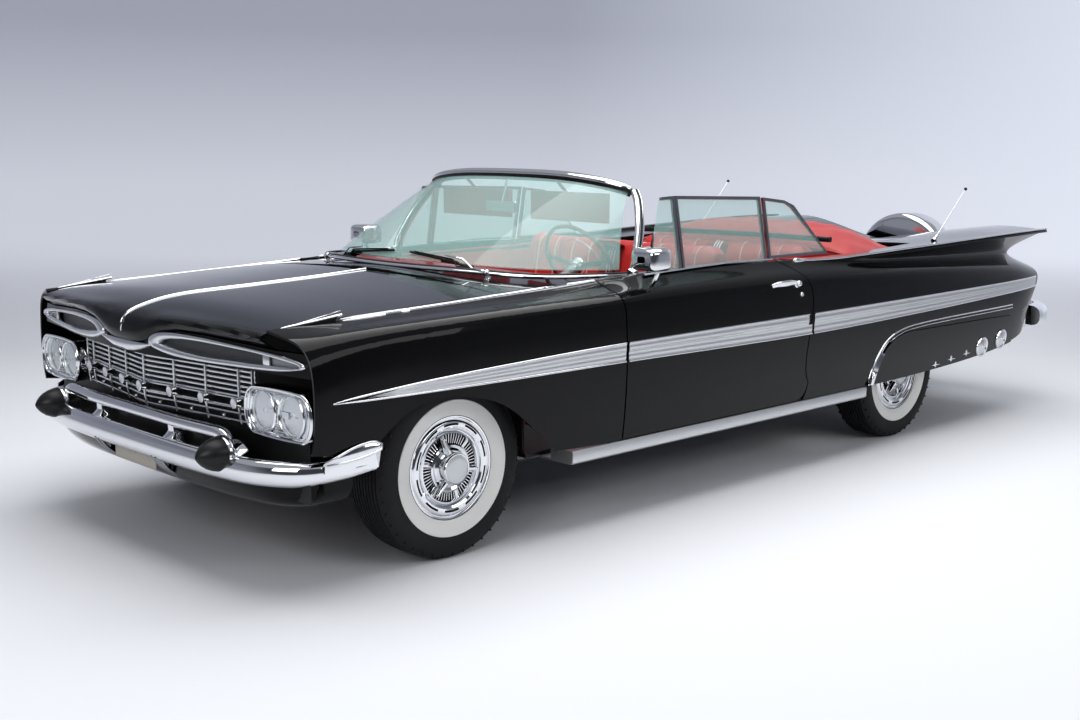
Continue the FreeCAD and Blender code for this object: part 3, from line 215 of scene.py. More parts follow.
# ------------------------------------------------------------------ finishes
@dataclass(frozen=True)
class Finish:
    """A plain surface: colour with slow change, gloss with fine change, and fine relief."""

    name: str
    slot: str
    colour: tuple[float, float, float]
    metallic: float = 0.0
    roughness: float = 0.4
    coat: float = 0.0
    coat_ior: float = 1.5
    specular: float = 0.5
    tone: float = 0.04
    tone_scale: float = 4.0
    wear: float = 0.03
    wear_scale: float = 60.0
    grain: float = 0.0
    grain_scale: float = 900.0
    grain_stretch: tuple[float, float, float] = (1.0, 1.0, 1.0)
    sheen: float = 0.0

    def build(self) -> bpy.types.Material:
        """Makes the material once and keeps it."""
        known = bpy.data.materials.get(self.name)
        if known:
            return known
        s = Shader(self.name)
        slow = s.noise(self.tone_scale)
        low = rgb(*(c * (1 - self.tone) for c in self.colour))
        high = rgb(*(min(1.0, c * (1 + self.tone)) for c in self.colour))
        fine = s.noise(self.wear_scale, self.grain_stretch)
        values = {"Base Color": s.blend(slow, low, high), "Metallic": self.metallic,
                  "Roughness": (fine * self.wear + (self.roughness - self.wear / 2)).clamped(),
                  "Coat Weight": self.coat, "Coat Roughness": 0.02,
                  "Coat IOR": self.coat_ior, "Specular IOR Level": self.specular,
                  "Sheen Weight": self.sheen}
        if self.grain:
            height = s.noise(self.grain_scale, self.grain_stretch, 4.0)
            values["Normal"] = s.bump(height, 0.6, self.grain)
        return s.finish(s.node("ShaderNodeBsdfPrincipled", {}, values, "BSDF"))


@dataclass(frozen=True)
class Glass:
    """Clear or tinted glass: what passes through, and the reflection over it."""

    name: str
    slot: str
    tint: tuple[float, float, float]
    gloss: float = 1.0

    def build(self) -> bpy.types.Material:
        """Makes the material once and keeps it."""
        known = bpy.data.materials.get(self.name)
        if known:
            return known
        s = Shader(self.name)
        through = s.node("ShaderNodeBsdfTransparent", {}, {"Color": rgb(*self.tint)})
        mirror = s.node("ShaderNodeBsdfGlossy", {}, {"Color": rgb(0.9, 0.95, 0.95), "Roughness": 0.01})
        edge = s.node("ShaderNodeLayerWeight", {}, {"Blend": 0.5}, "Facing") ** 4.0
        smear = s.noise(6.0) * 0.006
        factor = (edge * self.gloss + smear + 0.015).clamped()
        return s.finish(s.node("ShaderNodeMixShader", {}, {0: factor, 1: through, 2: mirror}))


PAINT = Finish("black_gloss_paint", "black_paint", (0.003, 0.003, 0.0035), roughness=0.15, coat=1.0,
               specular=0.03, coat_ior=1.2, tone=0.1, wear=0.02, wear_scale=8.0)
CHROME = Finish("bright_chrome", "chrome", (0.80, 0.81, 0.83), 1.0, 0.055, tone=0.02, wear=0.03,
                wear_scale=30.0)
BRUSHED = Finish("brushed_trim", "brushed_trim", (0.66, 0.67, 0.68), 1.0, 0.34, wear=0.12, wear_scale=180.0,
                 grain=0.0004, grain_scale=260.0, grain_stretch=(0.05, 1.0, 6.0))
SATIN_BLACK = Finish("satin_chassis", "chassis_paint", (0.010, 0.010, 0.011), specular=0.3, roughness=0.5,
                     tone=0.3,
                     wear=0.2, grain=0.0005, grain_scale=300.0)
ENGINE = Finish("engine_enamel", "engine_paint", (0.16, 0.05, 0.02), roughness=0.4, tone=0.2, wear=0.15,
                grain=0.0006, grain_scale=220.0)
STEEL = Finish("plain_steel", "steel", (0.36, 0.36, 0.37), 0.9, 0.42, tone=0.15, wear=0.2, grain=0.0004)
RED_LEATHER = Finish("red_vinyl", "red_leather", (0.52, 0.018, 0.014), roughness=0.40, coat=0.15, tone=0.08,
                     wear=0.10, grain=0.0006, grain_scale=420.0)
RED_CLOTH = Finish("red_boot_vinyl", "red_fabric", (0.40, 0.013, 0.012), roughness=0.5, tone=0.1,
                   wear=0.1, grain=0.0005, grain_scale=520.0, sheen=0.2)
RED_PAINT = Finish("red_satin_paint", "red_trim", (0.45, 0.010, 0.010), roughness=0.32, coat=0.4, tone=0.05)
RUBBER = Finish("tyre_rubber", "tyre", (0.0075, 0.0075, 0.008), specular=0.25, roughness=0.62, tone=0.15,
                wear=0.15,
                grain=0.0004, grain_scale=500.0)
WHITE_BAND = Finish("white_sidewall", "tyre", (0.80, 0.79, 0.76), roughness=0.5, tone=0.03, wear=0.1)
BLACK_TRIM = Finish("black_trim", "black_trim", (0.006, 0.006, 0.006), specular=0.3, roughness=0.45,
                    tone=0.2, wear=0.15,
                    grain=0.0003, grain_scale=700.0)
RED_LENS = Finish("red_lens", "red_lens", (0.42, 0.006, 0.006), roughness=0.08, coat=1.0, tone=0.1)
CLEAR = Glass("tinted_glass", "tinted_glass", (0.87, 0.965, 0.945), 0.7)
LENS = Glass("clear_lens", "lamp_glass", (0.97, 0.98, 0.985), 1.0)
HUB_ENAMEL = Finish("hub_enamel", "chrome", (0.62, 0.64, 0.66), 0.3, 0.25, coat=0.6, tone=0.03)
PEBBLED = Finish("pebbled_reflector", "chrome", (0.66, 0.67, 0.68), 1.0, 0.16, grain=0.0012,
                 grain_scale=160.0)
MIRROR = Finish("mirror_glass", "mirror", (0.86, 0.88, 0.90), 1.0, 0.02)

SATIN_BRIGHT = Finish("satin_bright", "brushed_trim", (0.74, 0.75, 0.77), 1.0, 0.2, tone=0.03, wear=0.08,
                      wear_scale=140.0)
DARK_CHROME = Finish("dark_chrome", "chrome", (0.34, 0.35, 0.37), 1.0, 0.14, tone=0.1, wear=0.06)
MESH_BLACK = Finish("black_mesh", "black_trim", (0.035, 0.036, 0.038), roughness=0.45, tone=0.2, wear=0.2,
                    grain=0.0016, grain_scale=420.0)
TURN_LAMP = Finish("turn_lamp_glass", "lamp_glass", (0.22, 0.23, 0.235), 0.4, 0.22, coat=1.0, grain=0.0012,
                   grain_scale=90.0, grain_stretch=(1.0, 5.0, 1.0))
LAMP_BOWL = Finish("lamp_bowl", "chrome", (0.88, 0.90, 0.90), 0.35, 0.3, tone=0.04, grain=0.0007,
                   grain_scale=60.0, grain_stretch=(1.0, 3.0, 1.0))
TIP_RUBBER = Finish("bumper_tip_rubber", "black_trim", (0.006, 0.006, 0.007), specular=0.3, roughness=0.36,
                    tone=0.2, wear=0.15,
                    grain=0.0002, grain_scale=400.0)
HEADER_BLACK = Finish("header_black", "black_trim", (0.010, 0.010, 0.011), specular=0.4, roughness=0.42)
PIPING = Finish("pale_piping", "red_leather", (0.62, 0.50, 0.48), roughness=0.5, tone=0.1)
DARK_RED = Finish("dark_red_vinyl", "red_leather", (0.17, 0.006, 0.007), roughness=0.45, coat=0.1, tone=0.1)
CARPET = Finish("red_carpet", "red_fabric", (0.34, 0.012, 0.012), specular=0.1, roughness=0.9, tone=0.25,
                tone_scale=60.0, wear=0.2, grain=0.002, grain_scale=420.0)
PLATE_GREY = Finish("blank_plate", "brushed_trim", (0.40, 0.36, 0.31), 0.1, 0.5, tone=0.2, wear=0.2,
                    grain=0.0005, grain_scale=60.0)


# ------------------------------------------------------------------ meshes
def piece(name: str, mesh: bpy.types.Mesh, finish: object, body: str, *stands_for: str) -> bpy.types.Object:
    """Adds a finished mesh to the car.

    Args:
        name: the piece's name.
        mesh: its mesh, in the model's frame.
        finish: the finish that it wears.
        body: CAD body that it moves with.
        stands_for: CAD nodes that it is shown instead of.

    Returns:
        The new object.
    """
    obj = bpy.data.objects.new(name, mesh)
    bpy.context.scene.collection.objects.link(obj)
    mesh.materials.clear()
    mesh.materials.append(finish.build())
    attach(obj, body)
    if stands_for:
        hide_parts(*stands_for)
    LOG.info("%s: %d faces on %s", name, len(mesh.polygons), body)
    return obj


def smooth(mesh: bpy.types.Mesh, angle: float = 35.0) -> None:
    """Smooth shading with edges kept where faces meet at more than an angle in degrees."""
    mesh.shade_smooth()
    mesh.set_sharp_from_angle(angle=math.radians(angle))


def merged_copy(node: str, gap: float = 0.00002) -> bpy.types.Mesh:
    """Copy of a CAD node's mesh with its loose triangles joined."""
    mesh = frame["nodes"][node].data.copy()
    bm = bmesh.new()
    bm.from_mesh(mesh)
    bmesh.ops.remove_doubles(bm, verts=bm.verts, dist=gap)
    bm.to_mesh(mesh)
    bm.free()
    if "custom_normal" in mesh.attributes:
        mesh.attributes.remove(mesh.attributes["custom_normal"])
    return mesh


def body_of(node: str) -> str:
    """CAD body that a node belongs to."""
    return frame["nodes"][node]["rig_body"]


def dressed(node: str, finish: object, angle: float = 35.0) -> bpy.types.Object:
    """A CAD node shown as it is, with joined faces, smooth shading and a finish."""
    mesh = merged_copy(node)
    smooth(mesh, angle)
    return piece(node + "_dress", mesh, finish, body_of(node), node)


class Shell:
    """Points and faces gathered from simple forms, in the model's frame."""

    def __init__(self) -> None:
        """Starts empty."""
        self.verts: list[Vector] = []
        self.faces: list[tuple[int, ...]] = []

    def grid(self, rows: Sequence[Sequence[Vector]], loop: bool = False, ring: bool = False,
             caps: bool = False, skip: Optional[Callable[[int, int], bool]] = None) -> "Shell":
        """Adds a sheet of quads.

        Args:
            rows: rows of points, all as long.
            loop: whether each row closes on itself.
            ring: whether the last row meets the first.
            caps: whether the first and last rows are filled.
            skip: says of a cell (row, column) that it stays open.

        Returns:
            This shell.
        """
        base, n, m = len(self.verts), len(rows), len(rows[0])
        self.verts += [p.copy() for row in rows for p in row]
        for i in range(n if ring else n - 1):
            for j in range(m if loop else m - 1):
                if skip and skip(i, j):
                    continue
                i2, j2 = (i + 1) % n, (j + 1) % m
                self.faces.append((base + i * m + j, base + i * m + j2, base + i2 * m + j2,
                                   base + i2 * m + j))
        if caps:
            self.faces.append(tuple(base + j for j in reversed(range(m))))
            self.faces.append(tuple(base + (n - 1) * m + j for j in range(m)))
        return self

    def lathe(self, profile: Sequence[tuple[float, float]], centre: tuple[float, float, float],
              axis: Vector, steps: int = 64, skip: Optional[Callable[[int, int], bool]] = None) -> "Shell":
        """Adds a turned form from (along, radius) points in millimetres."""
        axis = axis.normalized()
        u = axis.orthogonal().normalized() if abs(axis.y) < 0.99 else Vector((1, 0, 0))
        v = axis.cross(u)
        hub = at(*centre)
        rows = []
        for along, radius in profile:
            r = max(radius, 0.01) * MM
            rows.append([hub + axis * along * MM + (u * math.cos(t) + v * math.sin(t)) * r
                         for t in (2 * math.pi * k / steps for k in range(steps))])
        return self.grid(rows, loop=True, skip=skip)

    def sweep(self, path: Sequence[Vector], section: Sequence[tuple[float, float]],
              up: object = Vector((0, 0, 1)),
              scale: Optional[Callable[[float], float]] = None, closed: bool = False) -> "Shell":
        """Adds a closed section carried along a path.

        Args:
            path: points of the middle line.
            section: (across, up) points in millimetres, round the section.
            up: direction that the section's second axis leans to, or a list of one for each point.
            scale: size of the section at a share of the way from 0 to 1.
            closed: whether the path is a loop.

        Returns:
            This shell.
        """
        rows = []
        n = len(path)
        for k, p in enumerate(path):
            before = path[(k - 1) % n] if closed or k else p
            after = path[(k + 1) % n] if closed or k < n - 1 else p
            along = (after - before).normalized()
            lean = up[k] if isinstance(up, list) else up
            side = along.cross(lean).normalized()
            rise = side.cross(along).normalized()
            size = (scale(k / max(1, n - 1)) if scale else 1.0) * MM
            rows.append([p + side * a * size + rise * b * size for a, b in section])
        return self.grid(rows, loop=True, ring=closed, caps=not closed)

    def tube(self, path: Sequence[Vector], radius: float, steps: int = 10, closed: bool = False,
             scale: Optional[Callable[[float], float]] = None) -> "Shell":
        """Adds a round bar along a path."""
        return self.sweep(path, circle(radius, steps), spare_up(path), scale, closed)

    def block(self, low: tuple[float, float, float], high: tuple[float, float, float]) -> "Shell":
        """Adds a plain box between two corners in millimetres."""
        a, b = at(*low), at(*high)
        rows = [[Vector((a.x, y, z)) for y, z in ((a.y, a.z), (b.y, a.z), (b.y, b.z), (a.y, b.z))],
                [Vector((b.x, y, z)) for y, z in ((a.y, a.z), (b.y, a.z), (b.y, b.z), (a.y, b.z))]]
        return self.grid(rows, loop=True, caps=True)

    def add(self, other: "Shell", move: Optional[Matrix] = None) -> "Shell":
        """Adds another shell, moved if asked."""
        base = len(self.verts)
        self.verts += [(move @ p if move else p.copy()) for p in other.verts]
        self.faces += [tuple(base + i for i in f) for f in other.faces]
        return self

    def flipped(self) -> "Shell":
        """The same shell on the other side of the car."""
        other = Shell()
        other.verts = [Vector((p.x, -p.y, p.z)) for p in self.verts]
        other.faces = [tuple(reversed(f)) for f in self.faces]
        return other

    def on(self, side: Side) -> "Shell":
        """This left-hand shell, or its mirror image for the right side."""
        return self if side is Side.LEFT else self.flipped()

    def mesh(self, name: str, angle: float = 35.0, bevel: float = 0.0, wall: float = 0.0,
             rounds: int = 0) -> bpy.types.Mesh:
        """Makes the mesh: points merged, faces outwards, then a wall, a bevel and smoothing.

        Args:
            name: the mesh's name.
            angle: edges sharper than this many degrees stay sharp.
            bevel: width of the rounded edges in millimetres.
            wall: thickness given to an open sheet, inwards, in millimetres.
            rounds: levels of subdivision.

        Returns:
            The new mesh.
        """
        mesh = bpy.data.meshes.new(name)
        mesh.from_pydata([tuple(p) for p in self.verts], [], self.faces)
        bm = bmesh.new()
        bm.from_mesh(mesh)
        bmesh.ops.remove_doubles(bm, verts=bm.verts, dist=0.00003)
        bmesh.ops.dissolve_degenerate(bm, dist=0.00002, edges=bm.edges)
        bmesh.ops.recalc_face_normals(bm, faces=bm.faces)
        bm.to_mesh(mesh)
        bm.free()
        steps = []
        if wall:
            steps.append(("SOLIDIFY", {"thickness": wall * MM, "offset": -1.0}))
        if bevel:
            steps.append(("BEVEL", {"width": bevel * MM, "segments": 2, "limit_method": "ANGLE",
                                    "angle_limit": math.radians(32)}))
        if rounds:
            steps.append(("SUBSURF", {"levels": rounds, "render_levels": rounds}))
        return settle(mesh, steps, angle)


def show(name: str, shell: Shell, finish: object, angle: float = 35.0, body: str = "body",
         bevel: float = 0.0, stands_for: Sequence[str] = ()) -> None:
    """Makes a shell's mesh and adds it as one piece."""
    piece(name, shell.mesh(name, angle, bevel=bevel), finish, body, *stands_for)


def pair(name: str, shell: Shell, finish: object, angle: float = 35.0, body: str = "body",
         bevel: float = 0.0, stands_for: str = "") -> None:
    """Adds a piece on the left and its mirror image on the right.

    Args:
        name: the pieces' name, without the side.
        shell: the left one's form.
        finish: the finish that both wear.
        angle: degrees over which an edge stays sharp.
        body: the body that both move with, or one that ends in "_" and takes the side's tag.
        bevel: width of its bevel in millimetres.
        stands_for: a node that the left one replaces, or one that ends in "_", for each side's own.
    """
    for side in Side:
        rides = body + side.tag if body.endswith("_") else body
        own = (stands_for + side.tag,) if stands_for.endswith("_") else (stands_for,)
        keeps = stands_for and (side is Side.LEFT or stands_for.endswith("_"))
        show(name + "_" + side.tag, shell.on(side), finish, angle, rides, bevel, own if keeps else ())


def settle(mesh: bpy.types.Mesh, steps: Sequence[tuple[str, dict]], angle: float = 35.0) -> bpy.types.Mesh:
    """Applies modifiers to a mesh and shades it smooth."""
    if steps:
        holder = bpy.data.objects.new("holder", mesh)
        bpy.context.scene.collection.objects.link(holder)
        for kind, settings in steps:
            modifier = holder.modifiers.new(kind.lower(), kind)
            for key, value in settings.items():
                setattr(modifier, key, value)
        seen = holder.evaluated_get(bpy.context.evaluated_depsgraph_get())
        mesh = bpy.data.meshes.new_from_object(seen)
        bpy.data.objects.remove(holder)
    smooth(mesh, angle)
    return mesh


def circle(radius: float, steps: int = 10, squash: float = 1.0) -> list[tuple[float, float]]:
    """Round section, flattened by a share if asked."""
    return [(radius * math.cos(2 * math.pi * k / steps), radius * squash * math.sin(2 * math.pi * k / steps))
            for k in range(steps)]


def rounded_box(width: float, height: float, corner: float, steps: int = 4) -> list[tuple[float, float]]:
    """Section of a bar with round corners."""
    points = []
    for cx, cy, start in ((1, 1, 0), (-1, 1, 90), (-1, -1, 180), (1, -1, 270)):
        for k in range(steps + 1):
            t = math.radians(start + 90 * k / steps)
            points.append((cx * (width / 2 - corner) + corner * math.cos(t),
                           cy * (height / 2 - corner) + corner * math.sin(t)))
    return points


def spare_up(path: Sequence[Vector]) -> list[Vector]:
    """For each point of a path, a direction square to it that turns as little as it can."""
    ups = []
    lean = Vector((0, 0, 1))
    n = len(path)
    for k in range(n):
        along = (path[min(k + 1, n - 1)] - path[max(k - 1, 0)]).normalized()
        if abs(along.dot(lean)) > 0.95 and not ups:
            lean = Vector((1, 0, 0))
        lean = (lean - along * lean.dot(along)).normalized()
        ups.append(lean.copy())
    return ups


def curve(points: Sequence[Sequence[float]], count: int) -> list[Vector]:
    """Smooth run through points, at even steps; any number of columns works."""
    pts = [Vector(p) for p in points]
    if len(pts) == 2:
        fine = [pts[0].lerp(pts[1], k / 200) for k in range(201)]
    else:
        ends = [pts[0] * 2 - pts[1]] + pts + [pts[-1] * 2 - pts[-2]]
        fine = []
        for i in range(1, len(ends) - 2):
            a, b, c, d = ends[i - 1:i + 3]
            for k in range(40):
                t = k / 40
                fine.append(0.5 * ((2 * b) + (c - a) * t + (2 * a - 5 * b + 4 * c - d) * t * t
                                   + (3 * b - a - 3 * c + d) * t ** 3))
        fine.append(pts[-1].copy())
    lengths = [0.0]
    for a, b in zip(fine, fine[1:]):
        lengths.append(lengths[-1] + (b - a).length)
    result, j = [], 0
    for k in range(count):
        want = lengths[-1] * k / (count - 1)
        while j < len(fine) - 2 and lengths[j + 1] < want:
            j += 1
        span = lengths[j + 1] - lengths[j]
        result.append(fine[j].lerp(fine[j + 1], (want - lengths[j]) / span if span else 0))
    return result


def run(points: Sequence[tuple[float, float, float]], count: int) -> list[Vector]:
    """Smooth path in the model's frame through points in millimetres."""
    return [at(*p) for p in curve(points, count)]


def across(half: Sequence[Vector]) -> list[Vector]:
    """Path across the car from its left half, which starts on the middle."""
    return [Vector((p.x, -p.y, p.z)) for p in reversed(half[1:])] + list(half)


def in_mm(place: Vector) -> tuple[float, float, float]:
    """A place in the model's frame, in millimetres from the front axle."""
    return (place.x - AXLE_X) / MM, place.y / MM, place.z / MM


class Skin:
    """Finds places on chosen CAD nodes, so that trim lies on them."""

    def __init__(self, *nodes: str) -> None:
        """Gathers the nodes' triangles."""
        verts, faces = [], []
        for node in nodes:
            mesh = frame["nodes"][node].data
            base = len(verts)
            verts += [v.co.copy() for v in mesh.vertices]
            faces += [[base + i for i in p.vertices] for p in mesh.polygons]
        self.tree = BVHTree.FromPolygons(verts, faces)

    def beside(self, x: float, z: float) -> tuple[Vector, Vector]:
        """Place and outward direction on the left side at x and z in millimetres."""
        start = at(x, 1300, z)
        place, normal, _, _ = self.tree.ray_cast(start, Vector((0, -1, 0)))
        if place is None:
            place, normal, _, _ = self.tree.find_nearest(at(x, 1000, z))
        return place, normal if normal.y > 0 else -normal

    def over(self, x: float, y: float) -> tuple[Vector, Vector]:
        """Place and upward direction on the top at x and y in millimetres."""
        place, normal, _, _ = self.tree.ray_cast(at(x, y, 1600), Vector((0, 0, -1)))
        if place is None:
            place, normal, _, _ = self.tree.find_nearest(at(x, y, 1000))
        return place, normal if normal.z > 0 else -normal

    def ahead(self, y: float, z: float) -> tuple[Vector, Vector]:
        """Place and forward direction on the front at y and z in millimetres."""
        place, normal, _, _ = self.tree.ray_cast(at(1400, y, z), Vector((-1, 0, 0)))
        if place is None:
            place, normal, _, _ = self.tree.find_nearest(at(700, y, z))
        return place, normal if normal.x > 0 else -normal

    def edge(self, x: float, top: float = 1060, low: float = 900) -> Vector:
        """Highest place on the left side's outline at x, in the model's frame."""
        z = top
        while z > low:
            place, _, _, _ = self.tree.ray_cast(at(x, 1300, z), Vector((0, -1, 0)))
            if place is not None and place.y > 0.86:
                return place
            z -= 1.0
        return self.beside(x, low)[0]


def side_strip(skin: Skin, line: Sequence[Vector], section: Sequence[tuple[float, float]],
               taper: Optional[Callable[[float], float]] = None) -> Shell:
    """Strip that lies on the body's side.

    Args:
        skin: the surface under it.
        line: (x, z) points of its middle, in millimetres.
        section: (across, out) points of its face in millimetres, from low to high.
        taper: size of the section at a share of the way from 0 to 1.

    Returns:
        The open sheet of its face, with its edges down on the body.
    """
    rows = []
    n = len(line)
    for k, p in enumerate(line):
        along = (line[min(k + 1, n - 1)] - line[max(k - 1, 0)]).normalized()
        across = Vector((-along.y, along.x))
        if across.y < 0:
            across = -across
        size = taper(k / (n - 1)) if taper else 1.0
        row = []
        for a, out in section:
            q = p + across * (a * size)
            place, normal = skin.beside(q.x, q.y)
            row.append(place + normal * (out * size * MM))
        rows.append(row)
    return Shell().grid(rows)


def bead(width: float, proud: float, steps: int = 7) -> list[tuple[float, float]]:
    """Half-round face of a strip, with its edges a little under the surface."""
    points = [(-width / 2, -1.2)]
    for k in range(steps):
        t = math.pi * k / (steps - 1)
        points.append((-width / 2 * math.cos(t), proud * math.sin(t)))
    return points + [(width / 2, -1.2)]


class Repeat:
    """Geometry Nodes that set out copies of a small mesh, round a ring or in a row."""

    def __init__(self) -> None:
        """Builds both trees."""
        self.ring_tree = self._tree("set_out_in_a_ring", True)
        self.row_tree = self._tree("set_out_in_a_row", False)

    def _tree(self, name: str, ring: bool) -> bpy.types.NodeTree:
        """Tree that places Count copies of Piece.

        In a ring they stand at Radius and Start, Pitch radians apart, about Y; in a row each is
        Offset further on.
        """
        tree = bpy.data.node_groups.new(name, "GeometryNodeTree")
        face = tree.interface
        face.new_socket("Geometry", in_out="OUTPUT", socket_type="NodeSocketGeometry")
        inputs = [("Piece", "NodeSocketObject"), ("Count", "NodeSocketInt"), ("Finish", "NodeSocketMaterial")]
        inputs += ([("Radius", "NodeSocketFloat"), ("Pitch", "NodeSocketFloat"), ("Start", "NodeSocketFloat")]
                   if ring else [("Offset", "NodeSocketVector"), ("Seed", "NodeSocketInt")])
        for label, kind in inputs:
            face.new_socket(label, in_out="INPUT", socket_type=kind)
        nodes, links = tree.nodes, tree.links
        enter, leave = nodes.new("NodeGroupInput"), nodes.new("NodeGroupOutput")
        points = nodes.new("GeometryNodePoints")
        index = nodes.new("GeometryNodeInputIndex")
        info = nodes.new("GeometryNodeObjectInfo")
        info.transform_space = "ORIGINAL"
        spread = nodes.new("GeometryNodeInstanceOnPoints")
        real = nodes.new("GeometryNodeRealizeInstances")
        paint = nodes.new("GeometryNodeSetMaterial")
        links.new(enter.outputs["Count"], points.inputs["Count"])
        links.new(enter.outputs["Piece"], info.inputs["Object"])
        if ring:
            def maths(operation: str, a: bpy.types.NodeSocket, b: Optional[bpy.types.NodeSocket] = None
                      ) -> bpy.types.NodeSocket:
                """One sum of the ring's angles."""
                node = nodes.new("ShaderNodeMath")
                node.operation = operation
                links.new(a, node.inputs[0])
                if b:
                    links.new(b, node.inputs[1])
                return node.outputs[0]
            angle = maths("ADD", maths("MULTIPLY", index.outputs[0], enter.outputs["Pitch"]),
                          enter.outputs["Start"])
            place, turn = nodes.new("ShaderNodeCombineXYZ"), nodes.new("ShaderNodeCombineXYZ")
            links.new(maths("MULTIPLY", maths("SINE", angle), enter.outputs["Radius"]), place.inputs["X"])
            links.new(maths("MULTIPLY", maths("COSINE", angle), enter.outputs["Radius"]), place.inputs["Z"])
            links.new(angle, turn.inputs["Y"])
            links.new(place.outputs[0], points.inputs["Position"])
            links.new(turn.outputs[0], spread.inputs["Rotation"])
        else:
            stretch = nodes.new("ShaderNodeVectorMath")
            stretch.operation = "SCALE"
            links.new(enter.outputs["Offset"], stretch.inputs[0])
            links.new(index.outputs[0], stretch.inputs["Scale"])
            links.new(stretch.outputs[0], points.inputs["Position"])
        links.new(points.outputs[0], spread.inputs["Points"])
        links.new(info.outputs["Geometry"], spread.inputs["Instance"])
        links.new(spread.outputs[0], real.inputs[0])
        links.new(real.outputs[0], paint.inputs["Geometry"])
        links.new(enter.outputs["Finish"], paint.inputs["Material"])
        links.new(paint.outputs[0], leave.inputs[0])
        return tree

    def _run(self, tree: bpy.types.NodeTree, shell: Shell, finish: object, values: dict, name: str,
             bevel: float) -> Shell:
        """Runs a tree on a shell and gives back the copies as a shell."""
        part = bpy.data.objects.new(name + "_one", shell.mesh(name + "_one", bevel=bevel))
        host = bpy.data.objects.new(name, bpy.data.meshes.new(name))
        for obj in (part, host):
            bpy.context.scene.collection.objects.link(obj)
        modifier = host.modifiers.new("set_out", "NODES")
        modifier.node_group = tree
        values = {"Piece": part, "Finish": finish.build(), **values}
        for item in tree.interface.items_tree:
            if item.in_out == "INPUT" and item.name in values:
                modifier[item.identifier] = values[item.name]
        host.update_tag()
        seen = host.evaluated_get(bpy.context.evaluated_depsgraph_get())
        mesh = bpy.data.meshes.new_from_object(seen)
        made = Shell()
        made.verts = [v.co.copy() for v in mesh.vertices]
        made.faces = [tuple(p.vertices) for p in mesh.polygons]
        bpy.data.objects.remove(host)
        bpy.data.objects.remove(part)
        return made

    def ring(self, shell: Shell, finish: object, count: int, radius: float, name: str,
             pitch: Optional[float] = None, start: float = 0.0, bevel: float = 0.0) -> Shell:
        """Copies round the Y axis at the origin, at a radius in millimetres."""
        return self._run(self.ring_tree, shell, finish, {
            "Count": count, "Radius": radius * MM, "Pitch": pitch or 2 * math.pi / count, "Start": start},
            name, bevel)

    def row(self, shell: Shell, finish: object, count: int, offset: tuple[float, float, float], name: str,
            bevel: float = 0.0) -> Shell:
        """Copies in a row, each an offset in millimetres further on."""
        return self._run(self.row_tree, shell, finish, {
            "Count": count, "Offset": tuple(c * MM for c in offset), "Seed": 1}, name, bevel)


def at_origin(shell: Shell) -> Shell:
    """A shell drawn round the front axle's place, moved to the origin."""
    moved = Shell()
    moved.verts = [p - at(0, 0, 0) for p in shell.verts]
    moved.faces = list(shell.faces)
    return moved


REPEAT = Repeat()


